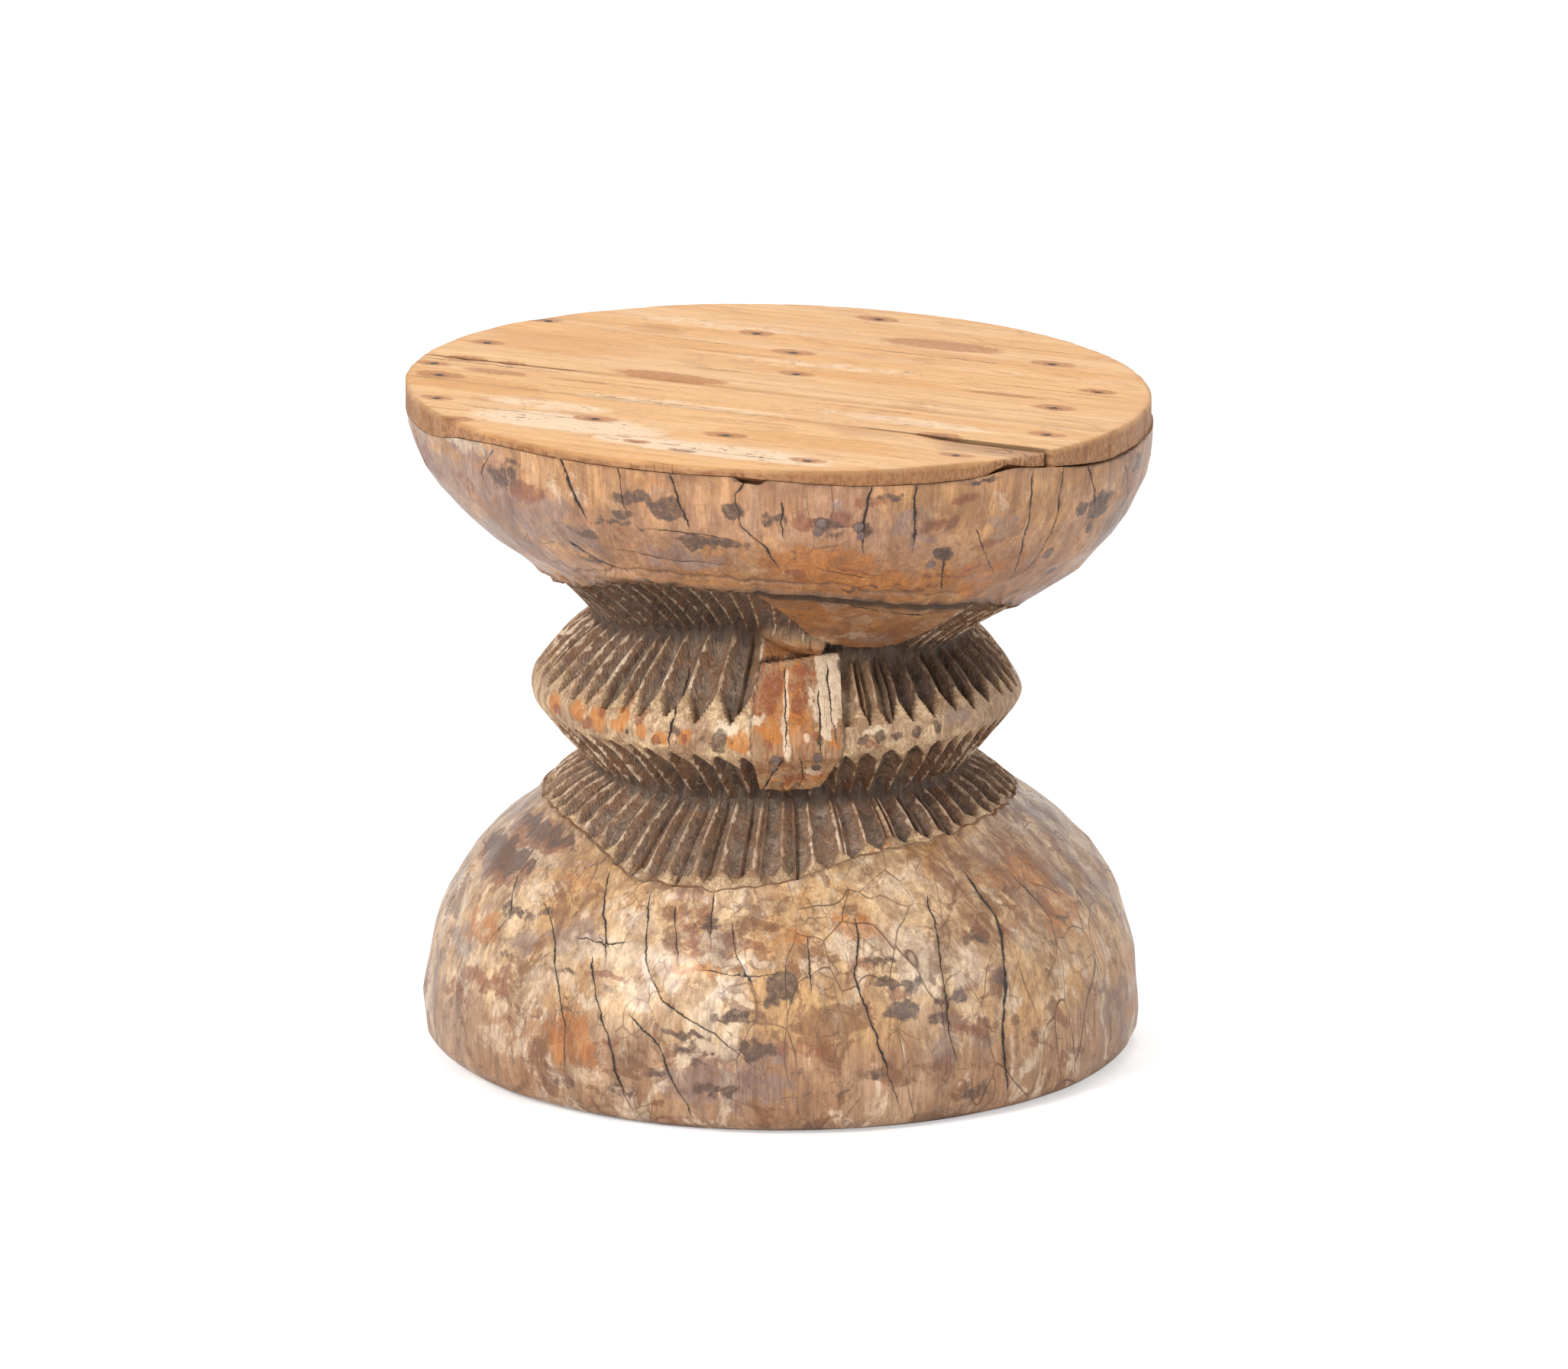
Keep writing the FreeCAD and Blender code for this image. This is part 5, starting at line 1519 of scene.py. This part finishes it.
def surface_spot(x, y, z):
    """The nearest point of the log's dressed outside to a CAD point, and its outward direction."""
    best = None
    for name in ("carved_bowl", "carved_waist"):
        hit, place_found, normal, _ = bpy.data.objects[name].closest_point_on_mesh(Vector((x, y, z)) * MM)
        distance = (place_found - Vector((x, y, z)) * MM).length
        if hit and (best is None or distance < best[0]):
            best = (distance, place_found / MM, normal)
    return best[1], best[2]


def build_pegs():
    """Wooden pegs driven through the log's skin."""
    draw = np.random.default_rng(83)
    parts = []
    for solid in loose_parts("skin_pegs"):
        outer = solid[np.argmax(np.hypot(solid[:, 0], solid[:, 1]))]
        centre = (solid.min(0) + solid.max(0)) / 2
        along = Vector((centre[0], centre[1], 0)).normalized()
        middle = Vector((centre[0], centre[1], centre[2]))
        tip = middle + along * (Vector(outer) - middle).dot(along)
        spot, normal = surface_spot(*tip)
        sideways = normal.cross(Vector((0, 0, 1))).normalized()
        upward = sideways.cross(normal)
        radius = draw.uniform(0.9, 1.05, SMALL_SIDES) * PEG_RADIUS
        rings = []
        for share, out in ((0.9, -14.0), (1.0, -1.0), (0.98, 0.25), (0.7, 0.7), (0.25, 0.55)):
            rings.append([
                spot + normal * out + (sideways * x + upward * y) * (r * share)
                for (x, y), r in zip(circle(SMALL_SIDES), radius)
            ])
        parts.append(rings)
    material = bpy.data.materials["peg_end_wood"]
    attach(lathe_mesh("peg_ends", parts, material), "skin_pegs")


# ---------------------------------------------------------------- what a user may change
LENGTHS = (
    ("under_bowl_flute_depth", "Under-bowl flutes", "Depth of the flutes under the bowl", 0.0058, 0.0),
    ("ring_flute_depth", "Ring flutes", "Depth of the flutes above the belly", 0.0082, 0.0),
    ("ring_under_flute_depth", "Teeth", "Depth of the flutes below the belly", 0.0078, 0.0),
    ("skirt_flute_depth", "Skirt flutes", "Depth of the flutes above the foot", 0.0064, 0.0),
    ("seam_gap", "Seam gap", "Gap between two boards of the top", 0.0011, 0.0),
    ("rear_seam", "Rear seam", "Distance of the rear seam behind the middle", -0.024, -1.0),
    ("front_seam", "Front seam", "Distance of the front seam behind the middle", -0.086, -1.0),
    ("floor_radius", "Floor radius", "Radius of the studio floor", 9.0, 1.0),
)


class DrumTableSizes(bpy.types.PropertyGroup):
    """Lengths and angles of the table's dressed surface."""

    __annotations__ = {
        name: FloatProperty(name=label, description=use, default=value, min=least, unit="LENGTH")
        for name, label, use, value, least in LENGTHS
    }
    camera_pitch: FloatProperty(
        name="Camera pitch", description="How far the camera looks down", default=14.24 * DEG, unit="ROTATION",
    )
    nail_seed: IntProperty(name="Nail variation", description="Changes how uneven the nail heads are", default=81)


TONES = (
    ("bowl_tan", "Bowl, light", (0.78, 0.42, 0.18)),
    ("bowl_pink", "Bowl, pinkish", (0.6, 0.33, 0.185)),
    # The bowl's tone under its turn is partly painted shade.
    ("bowl_under_shade", "Bowl, under its turn", (0.46, 0.19, 0.055)),
    ("bowl_brown", "Bowl, brown", (0.3, 0.125, 0.046)),
    ("shell_cream", "Foot, cream", (0.97, 0.69, 0.4)),
    ("shell_ochre", "Foot, ochre", (0.76, 0.45, 0.2)),
    ("foot_brown", "Foot, brown", (0.36, 0.18, 0.09)),
    ("foot_rose", "Foot, rosy brown", (0.42, 0.225, 0.14)),
    ("umber", "Umber clouds", (0.22, 0.085, 0.032)),
    ("weathered", "Flutes, weathered", (0.44, 0.32, 0.24)),
    ("belly_tan", "Belly", (0.6, 0.39, 0.23)),
    ("panel_ochre", "Panel, ochre", (0.5, 0.235, 0.085)),
    # The flute tones are darker than the bare wood: partly painted shade in the hollows.
    ("groove_brown", "Flutes, brown", (0.085, 0.046, 0.028)),
    ("groove_grey", "Flutes, grey", (0.125, 0.085, 0.064)),
    ("ridge_tan", "Ridges", (0.7, 0.47, 0.29)),
    ("stain_brown", "Stains", (0.13, 0.062, 0.032)),
    ("stain_grey", "Dark patches", (0.125, 0.076, 0.054)),
    ("warm_orange", "Orange stain", (0.64, 0.215, 0.03)),
    ("brick_red", "Red stain", (0.31, 0.095, 0.04)),
    ("milk_white", "Chalky wood", (0.97, 0.76, 0.54)),
    ("lilac_grey", "Greyed wood", (0.35, 0.25, 0.225)),
    ("split_black", "Splits", (0.03, 0.018, 0.012)),
    ("board_honey", "Boards, honey", (0.83, 0.44, 0.155)),
    ("board_peach", "Boards, peach", (0.88, 0.52, 0.23)),
    ("board_amber", "Boards, amber", (0.68, 0.305, 0.075)),
    ("board_pale", "Boards, pale", (0.96, 0.67, 0.38)),
    # Chalky streaks on the boards, and the painted sheen at their front left.
    ("board_white", "Boards, chalky", (0.97, 0.76, 0.54)),
    ("side_tan", "Boards, worn edge", (0.56, 0.31, 0.16)),
    ("board_red", "Boards, reddish", (0.47, 0.185, 0.055)),
    ("raw_wood", "Raw inside wood", (0.48, 0.32, 0.19)),
    ("nail_iron", "Iron", (0.09, 0.07, 0.06)),
    ("nail_rust", "Rust", (0.14, 0.065, 0.035)),
    ("floor_white", "Floor", (0.86, 0.86, 0.86)),
)


class DrumTableColours(bpy.types.PropertyGroup):
    """Colours of the table's finishes."""

    __annotations__ = {
        name: FloatVectorProperty(
            name=label, description=label + " colour", default=value, size=3, min=0, max=1, subtype="COLOR"
        )
        for name, label, value in TONES
    }


class DRUMTABLE_OT_finishes(bpy.types.Operator):
    """Makes the shared effects and the finishes"""

    bl_idname = "drum_table.finishes"
    bl_label = "Finishes"

    def execute(self, context):
        build_effects()
        skin_material("bowl_skin", ("bowl_tan", "bowl_pink", "bowl_brown", "bowl_under_shade"), 0.32, 0.15)
        skin_material("foot_skin", ("shell_cream", "shell_ochre", "foot_brown", "foot_rose"), 0.27, 1.0)
        carved_material()
        hollow_material()
        iron_material()
        plain_wood_material("peg_end_wood", "lilac_grey", "stain_grey", (0.001, 0.001, 0.001), 0.0)
        return {"FINISHED"}


class DRUMTABLE_OT_log(bpy.types.Operator):
    """Carves the log: bowl, fluted waist and domed foot, in place of the plain shell"""

    bl_idname = "drum_table.log"
    bl_label = "Carved log"

    def execute(self, context):
        found = bpy.data.materials
        _, lip_in = build_bowl([found["bowl_skin"], found["hollow_wood"]])
        skirt_ring, skirt = build_waist(
            [found["carved_waist_wood"], found["hollow_wood"]], lip_in, context.scene.drum_table_sizes
        )
        build_foot([found["foot_skin"], found["hollow_wood"]], skirt_ring, skirt)
        return {"FINISHED"}


class DRUMTABLE_OT_boards(bpy.types.Operator):
    """Lays the three boards of the top"""

    bl_idname = "drum_table.boards"
    bl_label = "Boards"

    def execute(self, context):
        sizes = context.scene.drum_table_sizes
        half_gap, rear, front = sizes.seam_gap / MM / 2, sizes.rear_seam / MM, sizes.front_seam / MM
        plan = (
            ("rear_board", rear, BEYOND, (0.0, 0.0, 0.0)),
            ("middle_board", front, rear, (0.7, 0.31, 0.0)),
            ("front_board", -BEYOND, front, (1.9, 0.77, 0.0)),
        )
        for node, low, high, shift in plan:
            planks = board_material(node + "_plank", shift)
            attach(build_board(node + "_plank", low, high, half_gap, planks), node)
        return {"FINISHED"}


class DRUMTABLE_OT_batten(bpy.types.Operator):
    """Finishes the cross batten under the boards, which keeps its CAD shape"""

    bl_idname = "drum_table.batten"
    bl_label = "Cross batten"

    def execute(self, context):
        finish = plain_wood_material("batten_plank", "raw_wood", "bowl_brown", (0.002, 0.05, 0.004), BOARD_TURN * DEG)
        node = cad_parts["cross_batten"]
        node.data.materials.clear()
        node.data.materials.append(finish)
        return {"FINISHED"}


class DRUMTABLE_OT_nails(bpy.types.Operator):
    """Drives the nails of the rim and of the batten"""

    bl_idname = "drum_table.nails"
    bl_label = "Nails"

    def execute(self, context):
        seed = context.scene.drum_table_sizes.nail_seed
        build_nails("rim_nail_heads", "rim_nails", seed)
        build_nails("batten_nail_heads", "batten_nails", seed + 1)
        return {"FINISHED"}


class DRUMTABLE_OT_pegs(bpy.types.Operator):
    """Sets the wooden pegs in the log's skin"""

    bl_idname = "drum_table.pegs"
    bl_label = "Pegs"

    def execute(self, context):
        build_pegs()
        return {"FINISHED"}


class DRUMTABLE_OT_stage(bpy.types.Operator):
    """Sets up the floor, the lights and the camera"""

    bl_idname = "drum_table.stage"
    bl_label = "Stage"

    def execute(self, context):
        scene, sizes = context.scene, context.scene.drum_table_sizes
        scene.view_settings.view_transform = "Standard"
        rim = [(sizes.floor_radius * x, sizes.floor_radius * y, -0.0005) for x, y in circle(FLOOR_SIDES)]
        mesh = bpy.data.meshes.new("studio_floor")
        mesh.from_pydata(rim, [], [tuple(range(FLOOR_SIDES))])
        floor = bpy.data.objects.new("studio_floor", mesh)
        scene.collection.objects.link(floor)
        paper, wires, shader = new_material("floor_paper")
        wires.feed(shader.inputs["Base Color"], colour("floor_white"))
        shader.inputs["Roughness"].default_value = 0.9
        shader.inputs["Specular IOR Level"].default_value = 0.1
        seen = wires.add("ShaderNodeLightPath").outputs["Is Camera Ray"]
        shader.inputs["Emission Color"].default_value = (1, 1, 1, 1)
        wires.feed(shader.inputs["Emission Strength"], wires.times(seen, 0.45))
        mesh.materials.append(paper)
        world = bpy.data.worlds.new("studio")
        scene.world = world
        world.use_nodes = True
        world.node_tree.nodes.clear()
        wires = Wiring(world.node_tree)
        soft = wires.add("ShaderNodeBackground", {"Color": (0.97, 0.97, 1.0, 1), "Strength": 0.55})
        white = wires.add("ShaderNodeBackground", {"Color": (1, 1, 1, 1), "Strength": 1.0})
        rays = wires.add("ShaderNodeLightPath").outputs
        seen = wires.sum("MAXIMUM", rays["Is Camera Ray"], rays["Is Glossy Ray"])
        mixed = wires.add("ShaderNodeMixShader", {0: seen, 1: soft.outputs[0], 2: white.outputs[0]})
        output = wires.add("ShaderNodeOutputWorld")
        wires.tree.links.new(mixed.outputs[0], output.inputs[0])
        for name, spot, size, power in LAMPS:
            lamp = bpy.data.lights.new(name, "AREA")
            lamp.shape, lamp.size, lamp.energy = "DISK", size, power
            holder = bpy.data.objects.new(name, lamp)
            holder.location = spot
            holder.rotation_euler = (Vector(LAMP_AIM) - Vector(spot)).to_track_quat("-Z", "Y").to_euler()
            scene.collection.objects.link(holder)
        camera = bpy.data.cameras.new("photo_camera")
        camera.lens, camera.sensor_width = CAMERA_LENS, 36.0
        camera.clip_end = 60.0
        viewer = bpy.data.objects.new("photo_camera", camera)
        viewer.location = CAMERA_PLACE
        viewer.rotation_euler = (math.pi / 2 - sizes.camera_pitch, 0, 0)
        scene.collection.objects.link(viewer)
        scene.camera = viewer
        return {"FINISHED"}


class DRUMTABLE_PT_pieces(bpy.types.Panel):
    """Lists the table's pieces, sizes and colours"""

    bl_idname = "DRUMTABLE_PT_pieces"
    bl_label = "Drum table"
    bl_space_type = "VIEW_3D"
    bl_region_type = "UI"
    bl_category = "Drum table"

    def draw(self, context):
        for step in STEPS:
            self.layout.operator(step.bl_idname)
        for group in (context.scene.drum_table_sizes, context.scene.drum_table_colours):
            box = self.layout.box()
            for name in group.bl_rna.properties.keys():
                if name not in ("name", "rna_type"):
                    box.prop(group, name)


STEPS = (
    DRUMTABLE_OT_finishes, DRUMTABLE_OT_log, DRUMTABLE_OT_boards, DRUMTABLE_OT_batten,
    DRUMTABLE_OT_nails, DRUMTABLE_OT_pegs, DRUMTABLE_OT_stage,
)
CLASSES = (DrumTableSizes, DrumTableColours, *STEPS, DRUMTABLE_PT_pieces)


def register():
    for item in CLASSES:
        bpy.utils.register_class(item)
    bpy.types.Scene.drum_table_sizes = PointerProperty(type=DrumTableSizes)
    bpy.types.Scene.drum_table_colours = PointerProperty(type=DrumTableColours)


def unregister():
    del bpy.types.Scene.drum_table_colours
    del bpy.types.Scene.drum_table_sizes
    for item in reversed(CLASSES):
        bpy.utils.unregister_class(item)


def main():
    register()
    for step in STEPS:
        folder, name = step.bl_idname.split(".")
        getattr(getattr(bpy.ops, folder), name)()


if __name__ == "__main__":
    main()
